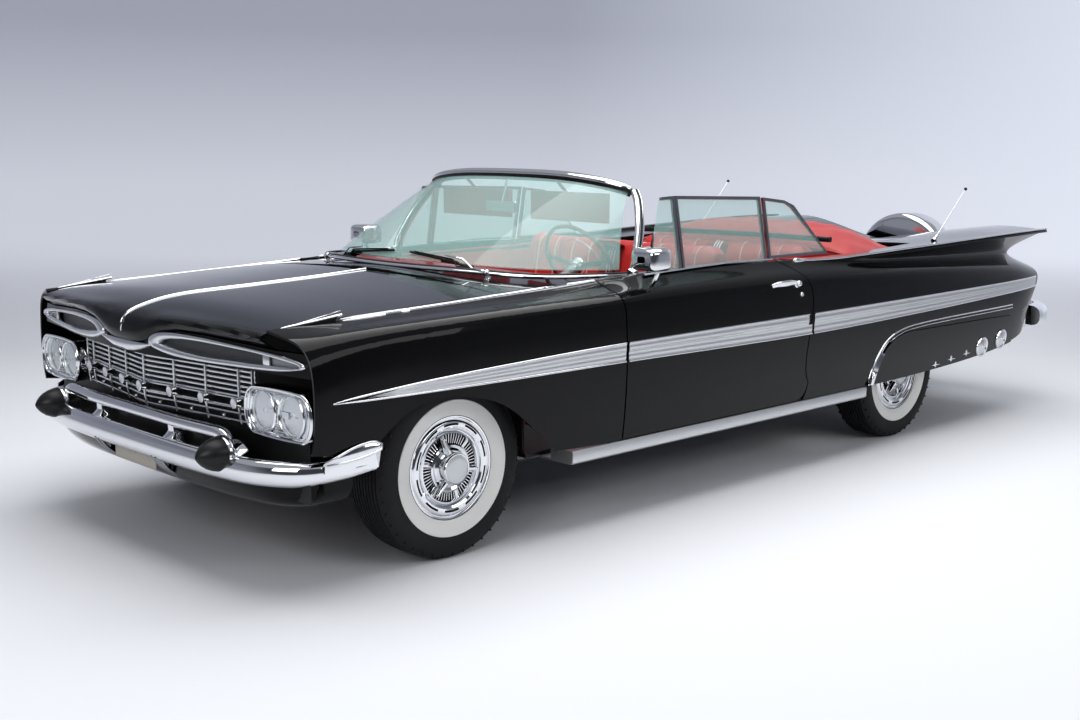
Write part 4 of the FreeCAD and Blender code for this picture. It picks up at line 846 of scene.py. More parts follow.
# ------------------------------------------------------------------ room
@dataclass
class Studio:
    """Pale floor that rises into a backdrop with painted shade and a painted glow, soft lamps and the camera.
    """

    eye: tuple[float, float, float] = (3121.0, 4551.0, 1532.0)
    yaw: float = 225.75
    pitch: float = -9.93
    roll: float = 0.28
    lens: float = 45.42
    shift: tuple[float, float] = (-0.0069, 0.0136)

    def camera(self) -> None:
        """Places the camera."""
        yaw, pitch, roll = (math.radians(a) for a in (self.yaw, self.pitch, self.roll))
        ahead = Vector((math.cos(yaw) * math.cos(pitch), math.sin(yaw) * math.cos(pitch), math.sin(pitch)))
        right = Vector((math.sin(yaw), -math.cos(yaw), 0))
        up = right.cross(ahead)
        r = right * math.cos(roll) + up * math.sin(roll)
        u = up * math.cos(roll) - right * math.sin(roll)
        data = bpy.data.cameras.new("camera")
        data.lens = self.lens
        data.sensor_width = 36.0
        data.shift_x, data.shift_y = self.shift
        obj = bpy.data.objects.new("camera", data)
        place = at(*self.eye)
        obj.matrix_world = Matrix(((r.x, u.x, -ahead.x, place.x), (r.y, u.y, -ahead.y, place.y),
                                   (r.z, u.z, -ahead.z, place.z), (0, 0, 0, 1)))
        bpy.context.scene.collection.objects.link(obj)
        bpy.context.scene.camera = obj

    def lamp(self, name: str, place: Vector, aim: Vector, size: tuple[float, float], power: float) -> None:
        """Adds a soft rectangular lamp."""
        data = bpy.data.lights.new(name, "AREA")
        data.shape = "RECTANGLE"
        data.size, data.size_y = size
        data.energy = power
        obj = bpy.data.objects.new(name, data)
        obj.location = place
        obj.rotation_euler = (aim - place).to_track_quat("-Z", "Y").to_euler()
        bpy.context.scene.collection.objects.link(obj)

    def floor(self) -> None:
        """Floor that curves up into a round backdrop, with painted shade: paler low down, darker high up and
        on the camera's side, and a painted glow.
        """
        rows = []
        radius, bend, height, middle_x = 17.0, 5.5, 10.0, 0.0
        profile = [(0.0, 0.0), (3.0, 0.0), (6.0, 0.0), (radius - bend, 0.0)]
        profile += [(radius - bend + bend * math.sin(t), bend - bend * math.cos(t))
                    for t in (k * math.pi / 28 for k in range(1, 15))]
        profile += [(radius, height)]
        steps = 96
        for r, z in profile[1:]:
            rows.append([(middle_x + r * math.cos(2 * math.pi * k / steps),
                          r * math.sin(2 * math.pi * k / steps), z)
                         for k in range(steps)])
        verts = [(middle_x, 0.0, 0.0)] + [p for row in rows for p in row]
        faces = [(0, 1 + k, 1 + (k + 1) % steps) for k in range(steps)]
        for i in range(len(rows) - 1):
            a, b = 1 + i * steps, 1 + (i + 1) * steps
            faces += [(a + k, b + k, b + (k + 1) % steps, a + (k + 1) % steps) for k in range(steps)]
        mesh = bpy.data.meshes.new("studio_floor")
        mesh.from_pydata(verts, [], faces)
        mesh.shade_smooth()
        obj = bpy.data.objects.new("studio_floor", mesh)
        bpy.context.scene.collection.objects.link(obj)
        s = Shader("studio_paper")
        x, y, z = (s.node("ShaderNodeSeparateXYZ", {}, {0: s.place()}, axis) for axis in "XYZ")
        # Painted shade: the paper is pale at the floor and darker up the backdrop, standing in for light
        # falling off with height.
        paper_painted_falloff = s.node("ShaderNodeValToRGB", {"stops": ((0.0, (0.74, 0.75, 0.78)), (0.06, (0.72, 0.73, 0.77)),
                                                        (0.30, (0.66, 0.675, 0.73)),
                                                        (1.0, (0.44, 0.45, 0.50)))},
                       {0: z / 9.0}, "Color")
        # Painted shade: the floor and backdrop are darkened on the camera's side, so that the car's sides
        # reflect a dark room.
        lead = ((x * 0.6 + y * 0.8 - 5.0) * 0.16).clamped()
        shade = s.blend(lead, paper_painted_falloff, rgb(0.16, 0.165, 0.18))
        # Painted glow: the backdrop gives off light, brightest on one side, dimmer high up on the other side,
        # and none on the far side.
        right = ((y * 0.7 - x * 0.716) * 0.11 + 0.02).clamped()
        high = (z * 0.42 - 0.35).clamped()
        left = s.blend(high, rgb(0.30, 0.31, 0.34), rgb(0.08, 0.085, 0.11))
        far = ((x * -0.7 - y * 0.72) * 0.13 - 0.40).clamped()
        painted_glow = s.blend(far, rgb(0, 0, 0), s.blend(right, left, rgb(0.48, 0.50, 0.56)))
        mesh.materials.append(s.finish(s.node("ShaderNodeBsdfPrincipled", {}, {
            "Base Color": shade, "Roughness": 0.9, "Specular IOR Level": 0.1, "Emission Color": painted_glow,
            "Emission Strength": 1.0}, "BSDF")))

    def build(self) -> None:
        """Builds the room, its light and the camera."""
        self.camera()
        self.floor()
        self.lamp("overhead", at(-1600, 300, 5200), at(-1600, 0, 0), (7.5, 5.5), 400)
        self.lamp("front_fill", at(5200, 2600, 3200), at(-400, 0, 500), (3.0, 2.4), 90)
        self.lamp("side_fill", at(-1800, 6500, 3400), at(-1800, 0, 300), (6.0, 1.6), 90)
        world = bpy.data.worlds.new("studio_air")
        world.use_nodes = True
        world.node_tree.nodes["Background"].inputs[0].default_value = (0.80, 0.83, 0.90, 1)
        world.node_tree.nodes["Background"].inputs[1].default_value = 0.42
        bpy.context.scene.world = world
        bpy.context.scene.view_settings.view_transform = "Standard"


# ------------------------------------------------------------------ wheels
@dataclass
class Wheel:
    """Tyre with a wide white band, and a bright cover with slots, fins and a three-blade spinner."""

    side: Side
    end: str
    tyre: float = 340.0
    half: float = 99.0
    band: tuple[float, float] = (198.0, 253.0)
    rim: float = 196.0
    face: float = 78.0
    slots: int = 10
    fins: int = 60
    blocks: int = 84

    def __post_init__(self) -> None:
        """Reads the wheel's place from its CAD tyre."""
        node = "tyre_%s_%s" % (self.end, self.side.tag)
        hub = middle(node)
        self.hub = ((hub.x - AXLE_X) / MM, abs(hub.y) / MM, hub.z / MM)
        self.body = "wheel_%s_%s" % (self.end, self.side.tag)
        self.tag = "%s_%s" % (self.end, self.side.tag)

    def _turned(self, profile: Sequence[tuple[float, float]], steps: int = 96,
                skip: Optional[Callable[[int, int], bool]] = None) -> Shell:
        """Form turned about the axle from (outward, radius) points."""
        return Shell().lathe(profile, self.hub, Vector((0, 1, 0)), steps, skip)

    def _placed(self, shell: Shell, out: float) -> Shell:
        """Copies set out about the origin, moved to the hub."""
        x, y, z = self.hub
        return Shell().add(shell, Matrix.Translation(at(x, y + out, z)))

    def rubber(self) -> None:
        """Tyre body with ribs round the tread, blocks across it and the white band."""
        w, r = self.half, self.tyre
        outer = [(w - 21, self.band[0] - 12), (w - 16, self.band[0])]
        wall = [(w - 5, self.band[1] + 3), (w - 1.5, 275), (w - 1, 295), (w - 5, 312), (w - 14, 326),
                (w - 22, 333)]
        tread = []
        for y in (70, 52, 34, 17, 0, -17, -34, -52, -70):
            crown = r - 3.2 * (y / 70) ** 2
            tread += [(y + 3, crown), (y + 2.2, crown - 7), (y - 2.2, crown - 7), (y - 3, crown)]
        inner = [(-y, rr) for y, rr in reversed(wall)]
        back = [(-(w - 8), 240), (-(w - 22), 190), (-(w - 45), 176), (w - 45, 176), (w - 28, 182)]
        body = self._turned(back[-1:] + outer + [(w - 11, 216), (w - 7, 234)] + wall + tread + inner + back,
                            96)
        piece("tyre_" + self.tag, body.on(self.side).mesh("tyre", 40), RUBBER, self.body,
              "tyre_" + self.tag)
        one = at_origin(Shell().block((-3.2, -5.5, -5.5), (3.2, 5.5, 2.6)))
        lugs = Shell()
        for row, y in enumerate((61, 43, 25.5, 8.5, -8.5, -25.5, -43, -61)):
            crown = r - 3.2 * (y / 70) ** 2 - 2.4
            ring = REPEAT.ring(one, RUBBER, self.blocks, crown, "tread", start=row * 0.02)
            lugs.add(self._placed(ring, y))
        edge = at_origin(Shell().block((-3.0, -9, -10), (3.0, 9, 4)))
        for y in (82, -82):
            ring = REPEAT.ring(edge, RUBBER, self.blocks // 2, r - 15, "shoulder")
            lugs.add(self._placed(ring, y))
        piece("tread_" + self.tag, lugs.on(self.side).mesh("tread", 30), RUBBER, self.body)
        low, high = self.band
        white = self._turned([(w - 20, low - 6), (w - 14.2, low), (w - 9.4, (low + high) / 2 - 9),
                              (w - 5.6, (low + high) / 2 + 9), (w - 3.2, high), (w - 6, high + 2.5)], 96)
        piece("white_band_" + self.tag, white.on(self.side).mesh("band", 50), WHITE_BAND, self.body)

    def cover(self) -> None:
        """Bright cover: lip, slotted ring, dished middle, fins, hub and spinner."""
        f = self.face
        per = 12
        lip = self._turned([(f - 20, self.rim - 4), (f - 4, self.rim), (f + 3, self.rim - 4),
                            (f + 2, self.rim - 9),
                            (f - 3, self.rim - 12), (f - 3, self.rim - 15), (f + 1, self.rim - 18),
                            (f + 4, 174), (f + 5, 172)], 120)
        ring = self._turned([(f + 5, 172), (f + 5.5, 166), (f + 5.5, 158), (f + 4.5, 152)], self.slots * per,
                            lambda i, j: i == 1 and 2 <= j % per <= 9)
        step = self._turned([(f + 4.5, 152), (f + 1, 145), (f - 8, 141), (f - 9, 136), (f - 3, 133),
                             (f - 2, 129),
                             (f - 14, 124)], 96)
        bright = Shell().add(lip).add(ring).add(step)
        hub = self._turned([(f - 14, 92), (f - 2, 90), (f + 2, 84), (f - 2, 74), (f + 4, 66), (f + 24, 62),
                            (f + 34, 60), (f + 38, 57), (f + 37, 53), (f + 34.5, 52)], 72)
        bright.add(hub)
        piece("cover_" + self.tag, bright.on(self.side).mesh("cover", 30, wall=1.2), CHROME, self.body,
              "wheel_" + self.tag)
        back = self._turned([(f - 40, 60), (f - 30, 140), (f - 12, 150), (f - 8, 176), (f - 18, 190),
                             (f - 40, 182)],
                            64)
        piece("cover_back_" + self.tag, back.on(self.side).mesh("back", 30), BLACK_TRIM, self.body)
        fin = at_origin(Shell().grid([[at(x, y, z) for x, y in ((-1.3, 0), (-1.3, 9), (1.3, 9), (1.3, 0))]
                                      for z in (-17, 17)], loop=True, caps=True))
        fins = self._placed(REPEAT.ring(fin, CHROME, self.fins, 108, "fins"), f - 19)
        bar = at_origin(Shell().block((-7, 0, -19), (7, 14, 19)))
        fins.add(self._placed(REPEAT.ring(bar, CHROME, 6, 108, "bridges", start=0.3, bevel=2), f - 19))
        piece("cover_fins_" + self.tag, fins.on(self.side).mesh("fins", 30), CHROME, self.body)
        blade = Shell()
        rows = []
        for z, half, out, low in ((48, 15, 30, 4), (80, 12.5, 27, 6), (110, 9, 23, 8), (122, 6, 20, 10)):
            rows.append([at(-half, low, z), at(-half * 0.35, out, z), at(half * 0.35, out, z),
                         at(half, low, z)])
        blade.grid(rows, loop=True, caps=True)
        blades = self._placed(REPEAT.ring(at_origin(blade), CHROME, 3, 0.0, "blades", start=0.35,
                                          bevel=1.2), f - 2)
        piece("spinner_" + self.tag, blades.on(self.side).mesh("spinner", 30), CHROME, self.body)
        disc = self._turned([(f + 34.5, 52), (f + 35.5, 50), (f + 36.3, 30), (f + 36.6, 0)], 48)
        piece("hub_disc_" + self.tag, disc.on(self.side).mesh("disc", 30), HUB_ENAMEL, self.body)

    def build(self) -> None:
        """Builds the whole wheel."""
        self.rubber()
        self.cover()


# ------------------------------------------------------------------ bright side trim
SIDE_NODES = ("front_fenders", "door_left", "quarter_panels", "skirts")


@dataclass
class SideTrim:
    """The long spear of brushed metal between two bright beads, in three lengths a side."""

    upper: tuple = ((625, 682), (560, 690), (430, 700), (200, 714), (-200, 728), (-766, 740), (-1995, 747),
                    (-3000, 754), (-3700, 759), (-4236, 763))
    lower: tuple = ((625, 680), (560, 679), (430, 677), (200, 674), (-200, 671), (-766, 669), (-1995, 660),
                    (-3000, 679), (-3700, 698), (-4236, 712))
    bead_width: float = 9.0
    bead_proud: float = 7.0
    spans: tuple = (("front", 622, -752, "body"), ("door", -769, -1993, "door"),
                    ("rear", -2010, -4232, "body"))

    def _line(self, table: Sequence[tuple[float, float]], x: float) -> float:
        """Height of a line at x."""
        smooth_run = curve([(p[0], p[1], 0) for p in table], 160)
        for a, b in zip(smooth_run, smooth_run[1:]):
            if a.x >= x >= b.x:
                return a.y + (b.y - a.y) * (a.x - x) / (a.x - b.x)
        return smooth_run[-1].y if x < smooth_run[-1].x else smooth_run[0].y

    def build(self, skin: Skin) -> None:
        """Builds the three lengths on both sides."""
        for name, x0, x1, body in self.spans:
            count = int(abs(x1 - x0) / 28) + 2
            xs = [x0 + (x1 - x0) * k / (count - 1) for k in range(count)]
            tops = [Vector((x, self._line(self.upper, x))) for x in xs]
            lows = [Vector((x, self._line(self.lower, x))) for x in xs]

            def taper(share: float) -> float:
                """The beads start at a point on the spear's tip."""
                return min(1.0, 0.25 + share * 9) if name == "front" else 1.0
            rail = side_strip(skin, tops, bead(self.bead_width, self.bead_proud), taper)
            rail.add(side_strip(skin, lows, bead(self.bead_width, self.bead_proud * 0.8), taper))
            rows = []
            for top, low in zip(tops, lows):
                row = []
                open_share = max(0.0, min(1.0, (505 - top.x) / 190)) if name == "front" else 1.0
                if open_share <= 0.0:
                    continue
                for k in range(25):
                    share = k / 24
                    z = low.y + (top.y - low.y) * (0.5 + (share - 0.5) * open_share)
                    place, normal = skin.beside(top.x, z)
                    rib = 2.2 if share > 0.55 else 0.0
                    rib += 1.6 + 0.6 * math.cos(share * 2 * math.pi * 4)
                    row.append(place + normal * rib * MM)
                rows.append(row)
            insert = Shell().grid(rows)
            for side in Side:
                rides = body if body == "body" else "door_" + side.tag
                piece("spear_beads_%s_%s" % (name, side.tag), rail.on(side).mesh("beads", 50), CHROME, rides)
                piece("spear_insert_%s_%s" % (name, side.tag), insert.on(side).mesh("insert", 30), BRUSHED,
                      rides)


@dataclass
class FinTrim:
    """Bright edge of the fins with the cap that starts it."""

    start: float = -1990.0
    end: float = -4366.0

    def build(self, skin: Skin) -> None:
        """Builds both edges and caps."""
        xs = [self.start + (self.end - self.start) * k / 90 for k in range(91)]
        path = [skin.edge(x) + Vector((0, 0.001, -0.001)) for x in xs]
        path = [sum((path[min(max(k + d, 0), 90)] for d in (-2, -1, 0, 1, 2)), Vector()) / 5
                for k in range(91)]
        rail = Shell().tube(path, 5.0, 8)
        head = path[0]
        cap = Shell()
        shape = [(14, 2), (8, 9), (0, 13), (-18, 14), (-45, 11), (-90, 7), (-120, 5)]
        rows = []
        for dx, r in shape:
            place = Vector((head.x + dx * MM, head.y + (2 if dx > -50 else 1) * MM,
                            head.z + (0.0 if dx > 0 else dx * 0.00004)))
            rows.append([place + Vector((0, math.cos(t) * r * MM * 0.8, math.sin(t) * r * MM))
                         for t in (2 * math.pi * k / 16 for k in range(16))])
        cap.grid(rows, loop=True, caps=True)
        pair("fin_edge", rail, CHROME, 60)
        pair("fin_cap", cap, CHROME, 60)


@dataclass
class SkirtTrim:
    """What is on the rear skirt: two bright lines, stone guard, darts and round lamps."""

    outline: tuple = ((-2512, 330), (-2522, 400), (-2560, 480), (-2630, 556), (-2740, 600), (-2900, 618),
                      (-3200, 626), (-3600, 630), (-3905, 632))
    lamps: tuple = ((-3592, 430), (-3806, 451))
    darts: tuple = ((-3120, 385), (-3275, 398), (-3430, 411))

    def build(self, skin: Skin) -> None:
        """Builds it on both sides."""
        line = [Vector((p.x, p.y)) for p in curve([(x, z, 0) for x, z in self.outline], 70)]
        rail = side_strip(skin, line, bead(8, 6))
        inner = [Vector((x + (-16 if z < 600 else -8), z - (4 if z < 560 else 17))) for x, z in line]
        rail.add(side_strip(skin, inner[2:], bead(5, 4)))
        guard_line = [Vector((p.x, p.y)) for p in curve([(-2532, 318, 0), (-2541, 380, 0), (-2566, 452, 0),
                                                          (-2600, 505, 0)], 24)]
        guard = side_strip(skin, guard_line, [(-13, -1), (-13, 5), (-9, 7), (9, 7), (13, 5), (13, -1)])
        darts = Shell()
        for x, z in self.darts:
            place, normal = skin.beside(x, z)
            for shape in (((38, 0), (8, 3.4), (-40, 1.2), (-44, 0), (-40, -1.2), (8, -3.4)),
                          ((10, 2), (2, 17), (-6, 19), (-10, 2)), ((8, -2), (4, -11), (-2, -12), (-8, -2))):
                ring = [place + Vector((dx * MM, 0, dz * MM)) for dx, dz in shape]
                rows = [[p + normal * h * MM for p in ring] for h in (-1.0, 3.0)]
                darts.grid(rows, loop=True, caps=True)
        bezels, lenses = Shell(), Shell()
        for x, z in self.lamps:
            place, normal = skin.beside(x, z)
            spot = in_mm(place)
            bezels.lathe([(-2, 54), (7, 54), (10, 51), (10, 46), (7, 43), (4, 42)], spot, normal, 48)
            lenses.lathe([(4, 43), (7, 36), (10, 22), (11, 14), (14, 12), (15, 0)], spot, normal, 40)
        pair("skirt_trim", rail, CHROME, 50)
        pair("stone_guard", guard, CHROME, 40)
        pair("skirt_darts", darts, CHROME, 30, bevel=0.6)
        pair("skirt_lamp_rims", bezels, CHROME, 50)
        pair("skirt_lamps", lenses, PEBBLED, 40)


# ------------------------------------------------------------------ front end
class Plan:
    """Curve across the car: how far ahead it is at each distance from the middle."""

    def __init__(self, table: Sequence[tuple[float, float]]) -> None:
        """Takes (x, y) points in millimetres from the middle to the left."""
        both = [(x, -y, 0) for x, y in reversed(table[1:])] + [(x, y, 0) for x, y in table]
        self.points = curve(both, 301)

    def x(self, y: float) -> float:
        """Place ahead of the front axle at a distance from the middle."""
        for a, b in zip(self.points, self.points[1:]):
            if a.y <= y <= b.y:
                return a.x + (b.x - a.x) * (y - a.y) / (b.y - a.y)
        return self.points[0 if y < 0 else -1].x

    def out(self, y: float, proud: float) -> tuple[float, float]:
        """Point (x, y) that stands square out from the curve."""
        slope = (self.x(y + 4) - self.x(y - 4)) / 8
        length = math.hypot(1, slope)
        return self.x(y) + proud / length, y - proud * slope / length


NOSE = Plan(((820, 0), (816, 120), (797, 300), (765, 500), (727, 700), (700, 860), (676, 996)))
GRILLE = Plan(((745, 0), (722, 178), (699, 356), (676, 534), (666, 610)))


@dataclass
class Nose:
    """Bright rims of the two brow openings, their mesh, the turn lamps and the lip under the hood."""

    # (y, z) of the rim's outer edge and of the opening, in pairs round the left brow
    pairs: tuple = ((166, 808, 226, 811), (170, 826, 238, 820), (190, 840, 260, 828), (228, 852, 285, 833),
                    (304, 859, 330, 837), (383, 859, 383, 839), (486, 856, 485, 838), (607, 848, 606, 832),
                    (724, 840, 723, 825), (800, 835, 790, 819), (862, 829, 850, 812), (912, 821, 895, 807),
                    (942, 812, 916, 803), (952, 802, 922, 799), (940, 793, 914, 796), (900, 785, 890, 794),
                    (838, 776, 838, 793), (721, 771, 722, 790), (603, 770, 604, 790), (481, 770, 482, 790),
                    (360, 773, 384, 795), (290, 778, 312, 801), (235, 786, 262, 807), (192, 796, 238, 809))
    profile: tuple = ((0, -5), (0, 4), (0.08, 8), (0.28, 11.5), (0.6, 12), (0.86, 9), (1, 4), (1, -28))
    lip_half: float = 178.0

    def rim(self) -> Shell:
        """Rounded band round the left opening, turned in at its inner edge."""
        loop = curve(self.pairs + self.pairs[:1], 161)[:-1]
        rows = []
        for yo, zo, yi, zi in loop:
            row = []
            for share, proud in self.profile:
                x, y = NOSE.out(yo + (yi - yo) * share, proud)
                row.append(at(x, y, zo + (zi - zo) * share))
            rows.append(row)
        return Shell().grid(rows, ring=True)

    def mesh_sheet(self, low: float, high: float, deep: float) -> Shell:
        """Sheet that fills the opening between two distances from the middle, set back by a depth."""
        tops = curve([(p[2], p[3], 0) for p in self.pairs[1:13]], 80)
        lows = curve([(p[2], p[3], 0) for p in self.pairs[:12:-1]], 80)

        def height(line: Sequence[Vector], y: float) -> float:
            """Height of a line at a distance from the middle."""
            return min(line, key=lambda p: abs(p.x - y)).y
        rows = []
        for k in range(61):
            y = low + (high - low) * k / 60
            x, yy = NOSE.out(y, -deep)
            z0, z1 = height(lows, y) - 3, height(tops, y) + 3
            rows.append([at(x, yy, z0 + (z1 - z0) * j / 4) for j in range(5)])
        return Shell().grid(rows)

    def lip(self) -> Shell:
        """Bright crescent that hangs under the hood between the two brows."""
        rows = []
        for k in range(41):
            y = self.lip_half * (2 * k / 40 - 1)
            sag = 1 - (y / self.lip_half) ** 2
            top, low = 806 - 2 * sag, 798 - 34 * sag
            row = []
            for share, proud in ((0, 3), (0.1, 8.5), (0.3, 10.5), (0.6, 9.5), (0.9, 4), (1.0, -2),
                                 (0.9, -16)):
                x, yy = NOSE.out(y, proud if sag > 0.02 else 2)
                row.append(at(x, yy, top + (low - top) * share))
            rows.append(row)
        return Shell().grid(rows)

    def build(self) -> None:
        """Builds both brows and what lies between them."""
        rim, mesh = self.rim(), self.mesh_sheet(226, 760, 20)
        plate = Shell().add(self.upright(752, 782, -3, 3))
        lamp = self.mesh_sheet(782, 922, 9)
        eye = Shell().lathe([(-1, 5.5), (1.2, 5.2), (1.4, 0)], (NOSE.x(767) - 2.6, 767, 811),
                            Vector((1, 0.2, 0)), 20)
        pair("brow_rim", rim, SATIN_BRIGHT, 60)
        pair("brow_mesh", mesh, MESH_BLACK, 60)
        pair("brow_post", plate, CHROME, 30, bevel=1.0)
        pair("brow_screw", eye, BLACK_TRIM, 30)
        pair("turn_lamp", lamp, TURN_LAMP, 60)
        show("nose_lip", self.lip(), CHROME, 60)

    def upright(self, y0: float, y1: float, back: float, front: float) -> Shell:
        """Small upright plate across the opening."""
        rows = []
        for proud in (back, front):
            row = []
            for y, z in ((y0, 791), (y1, 790), (y1, 824), (y0, 826)):
                x, yy = NOSE.out(y, proud)
                row.append(at(x, yy, z))
            rows.append(row)
        return Shell().grid(rows, loop=True, caps=True)


@dataclass
class Hood:
    """Hood with its rolled nose, and the painted panel under its edge."""

    half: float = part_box("hood")[1][1] / MM
    edge: tuple = ((0, 798), (60, 799), (120, 806), (170, 828), (240, 856), (340, 868), (480, 867),
                   (610, 859),
                   (805, 847))
    nose: tuple = ((0.0, 0, 0), (0.30, 12, 30), (0.72, -6, 52))
    stations: tuple = ((700, 922, 908, 42), (560, 950, 921, 20), (250, 963, 934, 6), (-20, 974, 945, 0),
                       (-262, 987, 953, 0))
    panel_half: float = 972.0
    panel_low: float = 764.0

    def edge_height(self, y: float) -> float:
        """Height of the front edge at a distance from the middle."""
        y = abs(y)
        for (a, low), (b, high) in zip(self.edge, self.edge[1:]):
            if y <= b:
                return low + (high - low) * (y - a) / (b - a)
        return self.edge[-1][1]

    def section(self, share: float, count: int) -> list[Vector]:
        """Line from the front edge to the rear, at a share of the half width."""
        fade = 1 - share * share
        y = self.half * share
        x, z = NOSE.x(y), self.edge_height(y)
        top = self.stations[0][2] + (self.stations[0][1] - self.stations[0][2]) * fade
        line = [(x + mid * fade + side * (1 - fade), y, z + (top - z) * rise)
                for rise, mid, side in self.nose]
        line += [(x + lead * fade, y, side + (mid - side) * fade) for x, mid, side, lead in self.stations]
        return run(line, count)

    def build(self) -> None:
        """Builds the hood and the panel."""
        rows = []
        for k in range(49):
            share = 2 * k / 48 - 1
            rows.append(self.section(share, 72))
        hood = Shell().grid(rows)
        piece("hood_panel", hood.mesh("hood_panel", 40, wall=6), PAINT, "hood", "hood")
        brow = Nose()
        loop = [(p[0] * 0.5 + p[2] * 0.5, p[1] * 0.5 + p[3] * 0.5)
                for p in curve(brow.pairs + brow.pairs[:1], 161)]

        def inside(y: float, z: float) -> bool:
            """Whether a place is in a brow's opening."""
            y, hit = abs(y), False
            for (ya, za), (yb, zb) in zip(loop, loop[1:]):
                if (za > z) != (zb > z) and y < ya + (yb - ya) * (z - za) / (zb - za):
                    hit = not hit
            return hit
        ys = [self.panel_half * (2 * k / 320 - 1) for k in range(321)]
        rows, marks = [], []
        for y in ys:
            top = self.edge_height(min(abs(y), self.half)) - 5
            heights = [self.panel_low] + [self.panel_low + (top - self.panel_low) * j / 30
                                          for j in range(31)] + [top]
            row, mark = [], []
            for j, z in enumerate(heights):
                x, yy = NOSE.out(y, -22 if j in (0, 32) else 0)
                row.append(at(x, yy, z))
                mark.append(inside(y, z + 2))
            rows.append(row)
            marks.append(mark)
        panel = Shell().grid(rows, skip=lambda i, j: marks[i][j] and marks[i + 1][j])
        show("nose_face", panel, PAINT, 40, stands_for=("nose_panel",))


@dataclass
class HoodTrim:
    """Thin bright ridge along the hood's middle."""

    width: float = 7.0
    tall: float = 6.0

    def build(self) -> None:
        """Lays the ridge on the hood."""
        line = Hood().section(0, 121)
        rows = []
        for k, place in enumerate(line[4:], 4):
            ahead = (line[min(k + 1, 120)] - line[k - 1]).normalized()
            normal = Vector((-ahead.z, 0, ahead.x)) if ahead.x > 0 else Vector((ahead.z, 0, -ahead.x))
            size = min(1.0, 0.3 + (k - 4) / 4)
            rows.append([place + Vector((0, a * MM * size, 0)) + normal * (b * MM * size) for a, b in
                         ((-self.width / 2, -1), (-self.width / 2.4, self.tall * 0.7), (0, self.tall),
                          (self.width / 2.4, self.tall * 0.7), (self.width / 2, -1))])
        show("hood_ridge", Shell().grid(rows), CHROME, 60, body="hood")


@dataclass
class FenderTrim:
    """Needle ornament with a wire fin on each front fender, and the two bright strips behind it."""

    needle: tuple = ((690, 805, 913, 1.2), (672, 806, 915, 3.2), (640, 808, 918, 4.6), (560, 810, 926, 5.2),
                     (480, 812, 935, 5.6), (452, 813, 938, 5.4))
    fin: tuple = ((655, 807, 918, 1.0), (560, 810, 934, 1.2), (455, 813, 953, 1.2))
    rows: tuple = (819.0, 834.0)

    def build(self, skin: Skin) -> None:
        """Builds the ornament and strips on both sides."""
        path = curve(self.needle, 40)
        body = Shell()
        rings = []
        for p in path:
            rings.append([at(p[0], p[1] + 6 + p[3] * math.cos(t) * 1.1, p[2] + p[3] * math.sin(t))
                          for t in (2 * math.pi * k / 16 for k in range(16))])
        body.grid(rings, loop=True, caps=True)
        foot = [at(x, 821, z) for x, z in ((600, 921), (470, 934))]
        lean = [skin.over(x, 821)[0] for x in (590, 480)]
        stand = Shell().grid([[foot[0] + Vector((0, w, 0)), lean[0] + Vector((0, w, -0.002)),
                               lean[1] + Vector((0, w, -0.002)), foot[1] + Vector((0, w, 0))]
                              for w in (-0.0028, 0.0028)], loop=True, caps=True)
        wire = Shell()
        line = [at(p[0], p[1] + 6, p[2]) for p in curve(self.fin, 20)]
        wire.tube(line, 1.5, 6)
        strips = Shell()
        for y, width in zip(self.rows, (7.0, 9.0)):
            rows = []
            for k in range(81):
                x = 458 + (-748 - 458) * k / 80
                place, normal = skin.over(x, y)
                if x < -240:
                    place, normal = skin.over(x, y + 8 * min(1, (-240 - x) / 300))
                size = min(1.0, 0.4 + k / 6)
                rows.append([place + Vector((0, a * MM * size, 0)) + normal * (b * MM * size) for a, b in
                             ((-width / 2, -1), (-width / 3, 3.4), (0, 4.6), (width / 3, 3.4),
                              (width / 2, -1))])
            strips.grid(rows)
        pair("fender_needle", body, CHROME, 60)
        pair("fender_needle_foot", stand, BLACK_TRIM, 30, bevel=0.8)
        pair("fender_wire_fin", wire, CHROME, 60)
        pair("fender_strips", strips, CHROME, 60)


